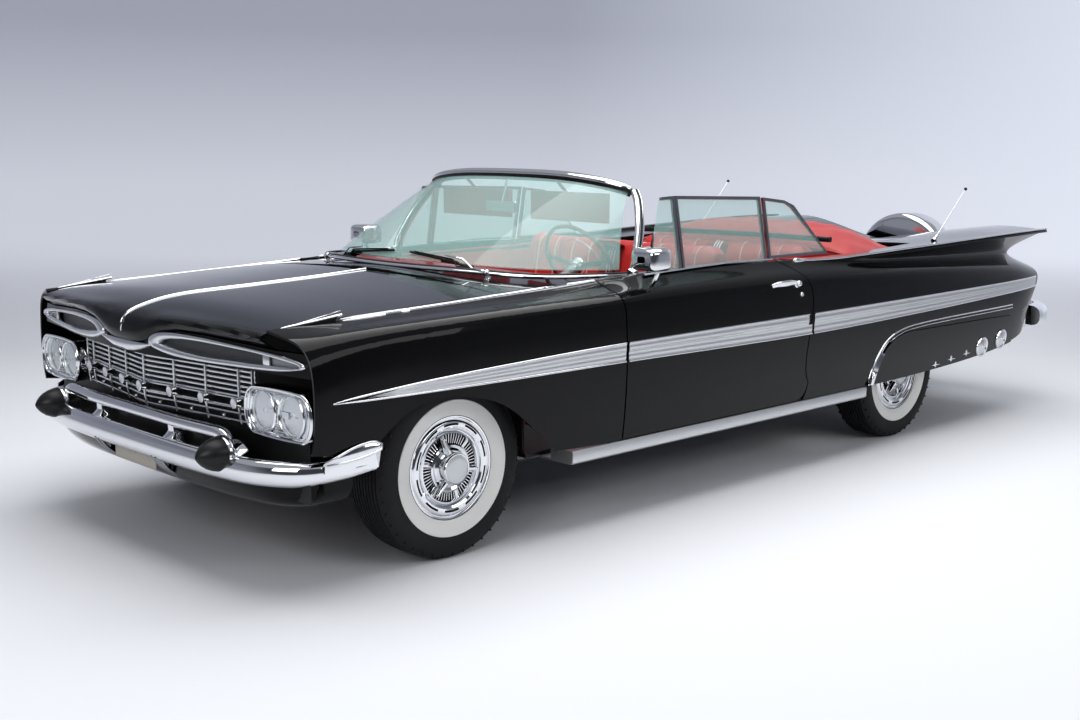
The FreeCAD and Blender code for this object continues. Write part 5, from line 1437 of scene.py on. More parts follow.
@dataclass
class GrilleTrim:
    """Frames between the posts, turned studs, and the small bright tabs under them."""

    posts: tuple = (-534.0, -356.0, -178.0, 0.0, 178.0, 356.0, 534.0)
    height: float = 627.0
    half: float = 15.0
    tabs: float = 572.0

    def frame(self, y0: float, y1: float) -> Shell:
        """Rounded frame in one bay."""
        path = []
        for k in range(24):
            t = 2 * math.pi * k / 24
            c, s = math.cos(t), math.sin(t)
            y = (y0 + y1) / 2 + (y1 - y0) / 2 * math.copysign(abs(c) ** 0.25, c)
            z = self.height + self.half * math.copysign(abs(s) ** 0.4, s)
            x, yy = GRILLE.out(y, 3)
            path.append(at(x, yy, z))
        return Shell().tube(path, 5.0, 8, closed=True)

    def build(self) -> None:
        """Builds what stands on the bars."""
        frames, studs, tips, tabs = Shell(), Shell(), Shell(), Shell()
        edges = (-600.0,) + self.posts + (600.0,)
        for a, b in zip(edges, edges[1:]):
            frames.add(self.frame(a + 8, b - 8))
            y = (a + b) / 2
            x, yy = GRILLE.out(y, 2)
            tabs.lathe([(-6, 7), (1, 8), (4, 6), (6, 0)], (x, yy, self.tabs), Vector((1, 0, -0.3)), 16)
        for y in self.posts:
            x = GRILLE.x(y)
            hub, ahead = (x - 12, y, self.height), Vector((1, 0, 0))
            studs.lathe([(-4, 13), (6, 14), (8, 15), (36, 19), (38, 20.4), (41, 20), (42, 17)], hub, ahead,
                        40)
            tips.lathe([(41.6, 17.4), (40.6, 10), (40.2, 0.0)], hub, ahead, 32)
        show("grille_bay_frames", frames, CHROME, 60)
        show("grille_studs", studs, CHROME, 40)
        show("grille_stud_faces", tips, SATIN_BRIGHT, 40)
        show("grille_tabs", tabs, CHROME, 50)
        bars, uprights = Shell(), Shell()
        for z in (757, 739, 721, 703, 685, 667, 649, 606, 588, 562):
            path = []
            for k in range(61):
                x, y = GRILLE.out(-602 + 1204 * k / 60, -5)
                path.append(at(x, y, z))
            bars.sweep(path, rounded_box(13, 9, 3, 2))
        for y in self.posts + (-606.0, 606.0):
            x = GRILLE.x(y)
            uprights.sweep(run([(x - 46, y, 774), (x - 16, y, 770), (x + 1, y, 756), (x + 2, y, 650),
                                (x + 2, y, 600), (x - 6, y, 552)], 16), rounded_box(9, 14, 3, 2),
                           Vector((1, 0, 0.2)))
        show("grille_bars", bars, SATIN_BRIGHT, 40, stands_for=("grille",))
        show("grille_uprights", uprights, SATIN_BRIGHT, 40)
        back = [[at(GRILLE.x(y) - 32, y, z) for y in range(-610, 611, 40)] for z in (540, 782)]
        show("grille_backing", Shell().grid(back), BLACK_TRIM, 60)
        roof = [[at(GRILLE.x(y) - d, y, z) for y in range(-610, 611, 40)]
                for d, z in ((60, 774), (6, 774), (4, 768))]
        show("grille_roof", Shell().grid(roof), SATIN_BRIGHT, 60)


@dataclass
class Headlamp:
    """Stepped bezel with a ribbed plate and two lamps."""

    centre: tuple[float, float] = (798.5, 629.0)
    half: tuple[float, float] = (186.5, 89.0)
    lamps: tuple = ((704, 714, 629), (697, 871, 631))
    radius: float = 73.0

    def loop(self, inset: float, x: float, count: int = 96) -> list[Vector]:
        """Stadium outline, inset by millimetres, at a place ahead of the face."""
        a, b = self.half[0] - inset, self.half[1] - inset
        straight = self.half[0] - self.half[1]
        power = 2 / 2.35
        points = []
        for k in range(count):
            t = 2 * math.pi * k / count
            c, s = math.cos(t), math.sin(t)
            y = math.copysign(abs(c) ** power, c) * b + math.copysign(min(1.0, abs(c) * 3), c) * straight
            z = math.copysign(abs(s) ** power, s) * b
            yy = self.centre[0] + max(-a, min(a, y))
            points.append(at(x - (yy - 714) * 0.045, yy, self.centre[1] + z))
        return points

    def build(self) -> None:
        """Builds both sides."""
        steps = ((3, 625), (0, 668), (0, 700), (2, 707), (6, 710), (10, 709), (12, 705), (13.5, 700),
                 (15, 700),
                 (16.5, 705), (19, 706), (21.5, 704), (23, 697), (24, 692))
        bezel = Shell().grid([self.loop(inset, x) for inset, x in steps], loop=True)
        plate = Shell().grid([self.loop(24, 693), self.loop(60, 693), self.loop(88, 693)], loop=True)
        plate.block((688, 735, 618), (693, 850, 640))
        rings, glass, bowl, bulbs = Shell(), Shell(), Shell(), Shell()
        for spot in self.lamps:
            ahead = Vector((1, 0.03, 0))
            rings.lathe([(-16, 74), (-4, 74.5), (0, 73), (2, 70), (0, 66.5), (-5, 65)], spot, ahead, 72)
            glass.lathe([(-5, 66), (1, 62), (6, 52), (9.5, 38), (11.5, 20), (12, 0)], spot, ahead, 64)
            bowl.lathe([(-6, 65.5), (-14, 60), (-24, 48), (-33, 30), (-36, 12), (-36, 0)], spot, ahead, 64)
            bulbs.lathe([(-36, 9), (-12, 9), (-9, 6), (-8, 0)], spot, ahead, 20)
        ribs_low = REPEAT.row(at_origin(Shell().block((-1.6, -30, -2), (1.8, 30, 2))), CHROME, 5, (0, 0, 8.5),
                              "lamp_ribs", bevel=0.8)
        ribs = Shell().add(ribs_low, Matrix.Translation(at(693, 792.5, 554)))
        fine = REPEAT.row(at_origin(Shell().block((-1, -1.1, -15), (1.2, 1.1, 15))), CHROME, 15, (0, 4.6, 0),
                          "lamp_reeds", bevel=0.4)
        ribs.add(fine, Matrix.Translation(at(694, 760, 690)))
        pair("lamp_bezel", bezel, CHROME, 40, stands_for="headlamps")
        pair("lamp_plate", plate, SATIN_BRIGHT, 40)
        pair("lamp_ribs", ribs, CHROME, 30)
        pair("lamp_rings", rings, CHROME, 60)
        pair("lamp_bowls", bowl, LAMP_BOWL, 60)
        pair("lamp_bulb_caps", bulbs, LAMP_BOWL, 60)
        pair("lamp_lenses", glass, LENS, 60)


@dataclass
class FrontBumper:
    """Large lower blade, bar over it, upright links, bullets, guards and blank plate."""

    low: tuple = ((824, 0), (821, 300), (806, 560), (768, 760), (680, 894), (552, 956), (436, 968))
    high: tuple = ((788, 0), (786, 300), (776, 480), (772, 540))
    low_section: tuple = ((-24, 404), (-8, 394), (8, 397), (19, 408), (24, 424), (25, 442), (22, 460),
                          (13, 474),
                          (0, 482), (-14, 483), (-25, 477))
    bullet: tuple = ((-176, 34), (-172, 40), (-150, 43), (-128, 46), (-122, 52), (-117, 60), (-112, 63.5),
                     (-106, 64), (-98, 62.5), (-94, 60.8))
    tip: tuple = ((-94, 60.6), (-80, 58.6), (-60, 53.4), (-40, 44.5), (-24, 33), (-12, 21), (-4, 10),
                  (-0.8, 3.6),
                  (0, 0))
    bullet_at: tuple[float, float] = (609.0, 481.0)

    def blade(self) -> Shell:
        """Lower blade with its ends drawn to a thin scooped tip."""
        rows = []
        line = curve([(x, y, 0) for x, y in self.low], 120)
        both = across(line)
        n = len(both)
        for k, p in enumerate(both):
            a, b = both[max(k - 1, 0)], both[min(k + 1, n - 1)]
            along = (b - a).normalized()
            out = Vector((along.y, -along.x, 0))
            shrink = max(0.0, min(1.0, (700 - p.x) / 264)) if abs(p.y) > 800 else 0.0
            row = []
            for d, z in self.low_section:
                lift = (z - 440) * (1 - 0.42 * shrink) + 440 + 14 * shrink
                row.append(at(p.x + out.x * d * (1 - 0.3 * shrink), p.y + out.y * d * (1 - 0.3 * shrink),
                              lift))
            rows.append(row)
        return Shell().grid(rows, loop=True, caps=True)

    def scoop(self) -> tuple[Shell, Shell]:
        """Raised dark wing over the blade's end, and the bright loop round it."""
        outer = curve([(640, 962, 470), (600, 982, 476), (540, 998, 484), (480, 1004, 494),
                       (436, 1005, 505)], 30)
        inner = curve([(640, 974, 484), (600, 988, 502), (540, 995, 524), (480, 998, 534), (440, 999, 530)],
                      30)
        rows = []
        for a, b in zip(outer, inner):
            mid = (a + b) / 2 + Vector((3, 3, 2))
            rows.append([at(*a), at(*(a.lerp(mid, 0.6))), at(*mid), at(*(b.lerp(mid, 0.6))), at(*b),
                         at(b.x - 8, b.y - 12, b.z - 20), at(b.x - 8, b.y - 14, 440)])
        wing = Shell().grid(rows)
        wing.faces.append(tuple(len(wing.verts) - 7 + k for k in range(7)))
        path = [at(*p) for p in outer[2:]] + [at(430, 1001, 522)] + [at(*p) for p in reversed(inner[:-1])]
        rim = Shell().tube(path, 5.0, 10)
        return wing, rim

    def build(self) -> None:
        """Builds the whole bumper."""
        show("front_blade", self.blade(), CHROME, 50, stands_for=("front_bumper",))
        high = [at(p.x, p.y, 540) for p in curve([(x, y, 0) for x, y in self.high], 40)]
        bend = run([(772, 540, 540), (768, 572, 534), (766, 590, 515), (768, 596, 486)], 12)[1:]
        half = high + bend
        path = across(half)
        bar = Shell().sweep(path, circle(23, 24), spare_up(path))
        show("front_bar", bar, CHROME, 60)
        links = Shell()
        for y in (-270, 270):
            rows = []
            for z, half_y, x0, x1 in ((540, 19, 770, 808), (524, 19, 768, 806), (504, 22, 764, 804),
                                      (488, 28, 766, 812), (476, 36, 770, 828), (460, 40, 776, 840)):
                rows.append([at(x0, y - half_y, z), at(x1 - 5, y - half_y, z), at(x1, y - half_y * 0.5, z),
                             at(x1, y + half_y * 0.5, z), at(x1 - 5, y + half_y, z), at(x0, y + half_y, z)])
            links.grid(rows, loop=True, caps=True)
        piece("front_links", links.mesh("front_links", 35, bevel=1.5, rounds=1), CHROME, "body")
        # Painted shade: black sheets behind the bumper stand in for the shade in the gap between the bumper
        # and the body.
        dark = Shell().grid([[at(748 - abs(y) * 0.02, y, z) for y in range(-600, 601, 60)]
                             for z in (420, 520)])
        for x in (690, 640):
            dark.grid([[at(x - abs(y) * 0.05, y, z) for y in range(-900, 901, 60)] for z in (330, 640)])
        show("bumper_gap_shade", dark, BLACK_TRIM, 60)
        y, z = self.bullet_at
        wing, rim = self.scoop()
        cone = Shell().lathe(self.bullet, (900, y, z), Vector((1, 0, 0)), 72)
        tip = Shell().lathe(self.tip, (900, y, z), Vector((1, 0, 0)), 72)
        band = Shell().sweep([at(x, yy, zz)
                              for x, yy, zz in ((776, 640, 396), (786, 650, 430), (784, 658, 462),
                                                               (770, 668, 490), (748, 676, 506))],
                             rounded_box(34, 12, 5, 3), Vector((1, 0.3, 0)))
        guard = Shell()
        for y, width in ((205, 20), (236, 26)):
            guard.sweep(run([(838, y, 412), (800, y - 2, 362), (745, y - 6, 322), (700, y - 10, 306)], 14),
                        rounded_box(width, 11, 5, 3), Vector((0.6, 0, 1)))
        valance = Shell()
        rows = []
        line = curve([(842, 0, 0), (838, 300, 0), (822, 560, 0), (780, 760, 0), (700, 880, 0), (600, 930, 0),
                      (470, 940, 0)], 60)
        both = across(line)
        for k, p in enumerate(both):
            q, r = both[max(k - 1, 0)], both[min(k + 1, len(both) - 1)]
            along = (r - q).normalized()
            out = Vector((along.y, -along.x, 0))
            rows.append([at(p.x + out.x * d, p.y + out.y * d, z) for d, z in
                         ((-52, 405), (-54, 378), (-64, 345), (-88, 316), (-126, 298), (-190, 290))])
        valance.grid(rows)
        pair("bumper_bullet", cone, CHROME, 50)
        pair("bumper_tip", tip, TIP_RUBBER, 60)
        pair("bumper_wing", wing, CHROME, 60)
        pair("bumper_wing_rim", rim, CHROME, 60)
        pair("bumper_collar", band, CHROME, 50)
        pair("plate_guard", guard, DARK_CHROME, 40)
        show("front_valance", valance, PAINT, 60)
        plate = Shell().block((796, -152, 342), (801, 152, 432))
        show("front_plate", plate, PLATE_GREY, 30, bevel=1.5)


# ------------------------------------------------------------------ screen, glass and small outside pieces
@dataclass
class Screen:
    """Windscreen surround: bright base, pillars with rubber, header and wipers."""

    base: tuple = ((-385, 0, 1004), (-425, 400, 1004), (-560, 690, 992), (-820, 785, 984), (-1035, 784, 976))
    top: tuple = ((-1075, 0, 1372), (-1082, 300, 1368), (-1105, 500, 1350), (-1150, 610, 1326),
                  (-1188, 638, 1308))

    def both(self, table: Sequence[tuple], count: int, lift: float = 0.0, ahead: float = 0.0) -> list[Vector]:
        """Path across the car through a table's points and their mirror images."""
        points = [(x + ahead, -y, z + lift) for x, y, z in reversed(table[1:])]
        points += [(x + ahead, y, z + lift) for x, y, z in table]
        return run(points, count)

    def build(self) -> None:
        """Builds the surround and what is on it."""
        base = Shell().sweep(self.both(self.base, 90, -4, 12), rounded_box(17, 15, 6, 4), Vector((0.5, 0, 1)))
        show("screen_base_molding", base, CHROME, 50, stands_for=("windscreen_frame",))
        seal = Shell().sweep(self.both(self.base, 90, 3, 2), rounded_box(12, 12, 4, 3), Vector((0.5, 0, 1)))
        show("screen_base_seal", seal, BLACK_TRIM, 50)
        top = self.both(self.top[:-1] + ((-1176, 634, 1312),), 80)
        cap = Shell().sweep([p + Vector((0.004, 0, 0.008)) for p in top],
                            ((-20, -6), (-19, 2), (-12, 6.5), (0, 8), (12, 6.5), (20, 1), (21, -7)),
                            Vector((0.25, 0, 1)))
        show("header_cap", cap, CHROME, 50)
        head = Shell().sweep([p + Vector((-0.004, 0, -0.014)) for p in top], rounded_box(33, 36, 7, 4),
                             Vector((0.25, 0, 1)))
        show("header_body", head, HEADER_BLACK, 50)
        bow = [(-1035, 784, 976), (-1052, 783, 1040), (-1108, 748, 1160), (-1160, 692, 1260),
               (-1178, 655, 1306)]
        path = run(bow, 40)
        lean = [Vector((0.9, 0.35, 0.25)).normalized()] * 40
        bright = Shell().sweep([p + Vector((0.010, 0.004, 0)) for p in path],
                               ((-13, -5), (-12, 3), (-6, 7), (2, 8.5), (9, 6), (12, 1), (12, -6)), lean)
        rubber = Shell().sweep([p + Vector((-0.004, 0.0, 0)) for p in path], rounded_box(30, 16, 6, 3), lean)
        inner = Shell().sweep([p + Vector((-0.019, -0.002, 0)) for p in path], rounded_box(24, 17, 6, 3),
                              lean)
        foot = Shell().sweep(run([(-1012, 792, 984), (-1034, 790, 994), (-1050, 787, 1022),
                                  (-1058, 784, 1052)], 16),
                             rounded_box(34, 15, 6, 3), lean[:16])
        pair("pillar_bright", bright, CHROME, 50)
        pair("pillar_rubber", rubber, BLACK_TRIM, 50)
        pair("pillar_inner", inner, CHROME, 50)
        pair("pillar_foot", foot, CHROME, 50)
        self.wipers()

    def wipers(self) -> None:
        """Two wipers that lie along the foot of the glass."""
        skin = Skin("windscreen_glass")
        blades, arms, pivots = Shell(), Shell(), Shell()

        def spot(y: float, z: float, off: float) -> Vector:
            """Place in front of the glass."""
            place, normal = skin.ahead(y, z)
            return place + normal * off * MM
        ys = [500 - 445 * k / 24 for k in range(25)]
        blade = [spot(y, 1012 + 34 * (500 - y) / 445, 7) for y in ys]
        blades.sweep(blade, rounded_box(9, 9, 3, 2), Vector((0.7, 0, 0.7)))
        holder = [spot(470 - 380 * k / 20, 1014 + 30 * k / 20, 15 + 3 * math.sin(math.pi * k / 20))
                  for k in range(21)]
        blades.sweep(holder, rounded_box(4, 7, 1.5, 2), Vector((0.7, 0, 0.7)))
        arm = [at(-448, 535, 1002), at(-440, 500, 1012)] + [spot(y, 1016 + 20 * (470 - y) / 190, 21)
                                                            for y in (430, 380, 330, 280)]
        arms.sweep(arm, rounded_box(9, 6, 2, 2), Vector((0.7, 0, 0.7)), scale=lambda t: 1.25 - 0.5 * t)
        pivots.lathe([(-34, 16), (-22, 18), (-16, 13), (2, 12), (8, 14), (16, 12), (20, 7), (21, 0)],
                     (-452, 536, 992), Vector((0.25, 0, 1)), 24)
        pair("wiper_blade", blades, BLACK_TRIM, 40)
        pair("wiper_arm", arms, CHROME, 40)
        pair("wiper_pivot", pivots, CHROME, 40)


@dataclass
class DoorFittings:
    """Pull handle with its button, key lock, belt molding and the round-cornered mirror on each door."""

    def build(self) -> None:
        """Builds both doors' fittings."""
        skin = Skin("door_left")

        def spot(x: float, z: float, off: float) -> Vector:
            """Place off the door's side."""
            place, normal = skin.beside(x, z)
            return place + normal * off * MM
        grip = [spot(-1704, 892, 1), spot(-1714, 893, 10), spot(-1738, 894, 17), spot(-1782, 894, 20),
                spot(-1832, 893, 19), spot(-1864, 892, 15)]
        pull = Shell().sweep(curve(grip, 30), rounded_box(10, 20, 4, 3), Vector((0, 0.3, 1)),
                             scale=lambda t: 0.85 + 0.5 * math.sin(math.pi * min(1, t * 1.05)))
        x, z = -1882, 889
        place, normal = skin.beside(x, z)
        spot_mm = in_mm(place)
        pull.lathe([(-4, 17), (4, 17), (8, 14), (11, 14), (20, 12.5), (23, 10), (24, 0)], spot_mm, normal, 28)
        place, normal = skin.beside(-1912, 842)
        spot_mm = in_mm(place)
        pull.lathe([(-3, 10), (3, 10), (6, 8), (6.5, 3), (5, 2.5), (5, 0)], spot_mm, normal, 24)
        rail = []
        for k in range(60):
            px = -1010 - (1872 - 1010) * k / 59
            edge = skin.over(px, 866)[0]
            rail.append(edge + Vector((0, 0.0, 0.007)))
        belt = Shell().sweep(rail, rounded_box(15, 8, 3, 3))
        box_rows = []
        for px, size in ((-908, 0.30), (-909, 0.62), (-914, 0.84), (-926, 0.95), (-944, 1.0), (-1008, 1.0),
                         (-1013, 0.97), (-1013, 0.9)):
            box_rows.append([at(px, 943 + a * size, 1050 + b * size) for a, b in rounded_box(136, 92, 24, 5)])
        shell = Shell().grid(box_rows, loop=True)
        glass = Shell().grid([[at(-1011, 943 + a * size, 1050 + b * size)
                               for a, b in rounded_box(136, 92, 24, 5)]
                              for size in (0.92, 0.05)],
                             loop=True)
        stalk = Shell().tube(run([(-984, 926, 896), (-986, 934, 940), (-984, 956, 975), (-984, 966, 1000),
                                  (-985, 957, 1022)], 24), 8.0, 14, scale=lambda t: 1.25 - 0.35 * t)
        stalk.lathe([(-8, 24), (2, 24), (6, 18), (9, 12), (12, 9)], (-984, 925, 890), Vector((0, 0.35, 1)),
                    28)
        stalk.tube(run([(-968, 926, 902), (-962, 950, 950), (-966, 974, 990), (-976, 966, 1022)], 20), 4.5,
                   10)
        pair("door_pull", pull, CHROME, 45, body="door_")
        pair("belt_molding", belt, CHROME, 45, body="door_")
        pair("mirror_shell", shell, CHROME, 50, body="door_", stands_for="door_mirror_")
        pair("mirror_face", glass, MIRROR, 30, body="door_")
        pair("mirror_stalk", stalk, CHROME, 45, body="door_")


# ------------------------------------------------------------------ cabin
def padded_box(name: str, low: tuple, high: tuple, lean: float, cap: float,
               corner: float = 34.0) -> bpy.types.Mesh:
    """Cushion blown up by a cloth simulation from a rounded box.

    Args:
        name: the mesh's name.
        low: its lowest corner in millimetres.
        high: its highest corner in millimetres.
        lean: degrees by which it leans back about its lower front edge.
        cap: the most that a point may move, in millimetres.
        corner: radius of the corners of its side view.

    Returns:
        The crowned mesh.
    """
    size = (Vector(high) - Vector(low))
    rows = []
    turn = Matrix.Rotation(math.radians(-lean), 4, "Y")
    pivot = at(high[0], 0, low[2])
    ring = rounded_box(size.x, size.z, corner, 5)
    for k in range(41):
        share = 2 * k / 40 - 1
        pull = 1.0 - 0.16 * max(0.0, abs(share) - 0.93) / 0.07
        row = []
        for a, b in ring:
            p = at((low[0] + high[0]) / 2 + a * pull, (low[1] + high[1]) / 2 + share * size.y / 2,
                   (low[2] + high[2]) / 2 + b * pull)
            row.append(pivot + turn @ (p - pivot))
        rows.append(row)
    mesh = Shell().grid(rows, loop=True, caps=True).mesh(name, 60)
    mesh = settle(mesh, [("REMESH", {"mode": "VOXEL", "voxel_size": 0.0115})], 60)
    holder = bpy.data.objects.new(name + "_sim", mesh)
    bpy.context.scene.collection.objects.link(holder)
    before = [v.co.copy() for v in mesh.vertices]
    cloth = holder.modifiers.new("cloth", "CLOTH")
    cloth.settings.use_pressure = True
    cloth.settings.uniform_pressure_force = 4.0
    cloth.settings.effector_weights.gravity = 0.0
    cloth.settings.quality = 4
    cloth.point_cache.frame_start, cloth.point_cache.frame_end = 1, 20
    scene = bpy.context.scene
    for step in range(1, 21):
        scene.frame_set(step)
    seen = holder.evaluated_get(bpy.context.evaluated_depsgraph_get())
    blown = bpy.data.meshes.new_from_object(seen)
    bpy.data.objects.remove(holder)
    scene.frame_set(1)
    for vertex, start in zip(blown.vertices, before):
        move = vertex.co - start
        if move.length > cap * MM:
            vertex.co = start + move.normalized() * cap * MM
    smooth(blown, 60)
    return blown


def sewn(mesh: bpy.types.Mesh, seams: Sequence[float], depth: float = 7.0,
         width: float = 13.0) -> bpy.types.Mesh:
    """Pulls a cushion in along seams that run fore and aft at distances from the middle."""
    for vertex in mesh.vertices:
        near = min(abs(vertex.co.y / MM - y) for y in seams)
        wave = math.exp(-(near / width) ** 2)
        normal = vertex.normal
        vertex.co -= Vector((normal.x, 0, normal.z)) * depth * MM * wave
    mesh.update()
    return settle(mesh, [("SUBSURF", {"levels": 1, "render_levels": 1})], 60)


@dataclass
class Bench:
    """Bench seat: crowned cushion and back with sewn seams, white piping and a dark middle panel."""

    name: str
    pad: tuple
    back: tuple
    lean: float
    seams: tuple
    body: str = "body"

    def piping(self, tree: BVHTree, corners: tuple[Vector, Vector], y: float, upright: bool) -> Shell:
        """Cord along a seam over the face and the top."""
        low, high = corners
        middle_x, middle_z = (low.x + high.x) / 2, (low.z + high.z) / 2
        path = []
        for k in range(37):
            t = math.radians(-40 + 175 * k / 36)
            way = Vector((math.cos(t), 0, math.sin(t)))
            if upright:
                start = Vector((middle_x + 0.02, y * MM, low.z + (high.z - low.z) * 0.55))
            else:
                start = Vector((middle_x, y * MM, middle_z))
            place = tree.ray_cast(start + way * 0.9, -way)[0]
            if place is not None:
                path.append(place + way * 0.0012)
        return Shell().tube(curve(path, 60), 2.6, 8) if len(path) > 5 else Shell()

    def build(self) -> None:
        """Builds the bench."""
        pad = sewn(padded_box(self.name + "_pad", *self.pad, 0.0, 20.0), self.seams)
        back = sewn(padded_box(self.name + "_back", *self.back, self.lean, 18.0), self.seams)
        cords = Shell()
        for mesh, upright in ((pad, False), (back, True)):
            tree = BVHTree.FromPolygons([v.co.copy() for v in mesh.vertices],
                                        [tuple(p.vertices) for p in mesh.polygons])
            corners = tuple(Vector([pick(v.co[i] for v in mesh.vertices) for i in range(3)])
                            for pick in (min, max))
            for y in self.seams:
                cords.add(self.piping(tree, corners, y, upright))
        obj = piece(self.name + "_cushion", pad, RED_LEATHER, self.body, self.name)
        obj = piece(self.name + "_backrest", back, RED_LEATHER, self.body)
        piece(self.name + "_piping", cords.mesh("piping", 60), PIPING, self.body)
        insert, lines = Shell(), Shell()
        high, low = self.back[1][2], self.back[0][2]
        rows = []
        for k in range(13):
            z = high - 28 - (high - low - 120) * k / 12
            row = []
            for j in range(9):
                y = -72 + 18 * j
                place = tree.ray_cast(at(self.back[1][0] + 400, y, z), Vector((-1, 0, 0)))[0]
                row.append((place or at(self.back[1][0], y, z)) + Vector((0.0035, 0, 0.001)))
            rows.append(row)
        insert.grid(rows)
        for j in (3, 4, 5):
            lines.tube([row[j] + Vector((0.001, 0, 0)) for row in rows], 3.0, 6)
        piece(self.name + "_insert", insert.mesh("insert", 60), DARK_RED, self.body)
        piece(self.name + "_insert_lines", lines.mesh("lines", 60), SATIN_BRIGHT, self.body)
        low_b, high_b = self.pad
        plinth = Shell().block((low_b[0] + 60, low_b[1] + 45, 330),
                               (high_b[0] - 45, high_b[1] - 45, low_b[2] + 25))
        piece(self.name + "_plinth", plinth.mesh("plinth", 30, bevel=4), DARK_RED, self.body)


@dataclass
class Boot:
    """Soft cover over the folded top: domed, with drawn folds and a raised middle front."""

    def build(self) -> None:
        """Builds the cover and the black rail in front of it."""
        low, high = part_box("top_boot")
        x0, x1 = (high[0] - AXLE_X) / MM, (low[0] - AXLE_X) / MM
        half = high[1] / MM
        dome = curve([(0, 985, 0), (0.04, 1030, 0), (0.16, 1072, 0), (0.34, 1094, 0), (0.55, 1098, 0),
                      (0.78, 1066, 0),
                      (0.94, 1012, 0), (1, 972, 0)], 73)
        rows = []
        for k in range(97):
            share = 2 * k / 96 - 1
            fade = 1 - abs(share) ** 3.2
            row = []
            for p in dome:
                t, z = p.x, p.y
                edge = min(1.0, 6 * t, 6 * (1 - t)) * min(1.0, 8 * (1 - abs(share)))
                fold = 5.0 * math.sin(9 * share + 5 * t + 1.2 * math.sin(6 * share)) \
                    + 3.6 * math.sin(23 * share - 9 * t + 2 * math.sin(5 * t)) \
                    + 2.2 * math.sin(41 * share + 17 * t)
                lift = 8 * math.exp(-(share / 0.28) ** 2) * math.exp(-((t - 0.2) / 0.2) ** 2)
                row.append(at(x0 + (x1 - x0) * t, half * share,
                              940 + (z - 940) * fade + (fold + lift - 4) * edge))
            rows.append(row)
        top = Shell().grid(rows)
        ring = [row[0] for row in rows] + rows[-1][1:] + [row[-1] for row in reversed(rows[:-1])] \
            + list(reversed(rows[0][1:-1]))
        under = [Vector((p.x, p.y, at(0, 0, 928).z)) for p in ring]
        top.grid([ring, under], loop=True)
        top.faces.append(tuple(range(len(top.verts) - len(under), len(top.verts))))
        obj = piece("boot_cover", top.mesh("boot_cover", 60), RED_CLOTH, "body", "top_boot")
        hem = Shell().tube([p + Vector((0, 0, 0.003)) for p in [row[0] for row in rows[2:-2]]], 4.0, 8)
        show("boot_hem", hem, RED_CLOTH, 60)
        rail = Shell().sweep([at(x, y, z)
                              for x, y, z in curve(((-2640, -655, 1018), (-2600, -300, 1030), (-2592, 0, 1034),
                                                               (-2600, 300, 1036), (-2640, 655, 1030)), 50)],
                             rounded_box(30, 26, 9, 4))
        show("top_rail", rail, BLACK_TRIM, 50)


@dataclass
class SteeringWheel:
    """Thin dark rim, two spokes, horn ring and hub."""

    hub: tuple[float, float, float] = (-1120.0, 400.0, 985.0)
    radius: float = 198.0

    def build(self) -> None:
        """Builds the wheel on its own body."""
        axis = Vector((-790, 0, 425)).normalized()
        across = Vector((0, 1, 0))
        up = axis.cross(across) * -1

        def ring(radius: float, tube: float, back: float, steps: int = 90) -> Shell:
            """Round bar about the hub."""
            path = [at(*self.hub) + axis * back * MM + (across * math.cos(t) + up * math.sin(t)) * radius * MM
                    for t in (2 * math.pi * k / steps for k in range(steps))]
            made = Shell()
            rows = []
            for p in path:
                out = (p - at(*self.hub) - axis * back * MM).normalized()
                rows.append([p + (out * math.cos(u) + axis * math.sin(u)) * tube * MM
                             for u in (2 * math.pi * j / 12 for j in range(12))])
            return made.grid(rows, loop=True, ring=True)
        rim = ring(self.radius - 9, 9.0, 0)
        show("wheel_rim", rim, DARK_RED, 60, body="steering_wheel", stands_for=("steering_wheel",))
        horn = ring(118, 3.6, 8)
        spokes = Shell()
        for angle in (math.radians(8), math.radians(172)):
            way = across * math.cos(angle) + up * math.sin(angle)
            spokes.sweep([at(*self.hub) + axis * (-18 + 18 * t) * MM
                          + way * (20 + (self.radius - 26) * t) * MM
                          for t in (k / 8 for k in range(9))], rounded_box(26, 9, 4, 3), axis)
        hub = Shell().lathe([(-50, 26), (-40, 34), (-20, 38), (0, 36), (6, 28), (10, 14), (11, 0)],
                            self.hub, axis, 36)
        show("wheel_spokes", spokes, DARK_RED, 40, body="steering_wheel")
        show("horn_ring", horn, CHROME, 60, body="steering_wheel")
        show("wheel_hub", hub, CHROME, 50, body="steering_wheel")


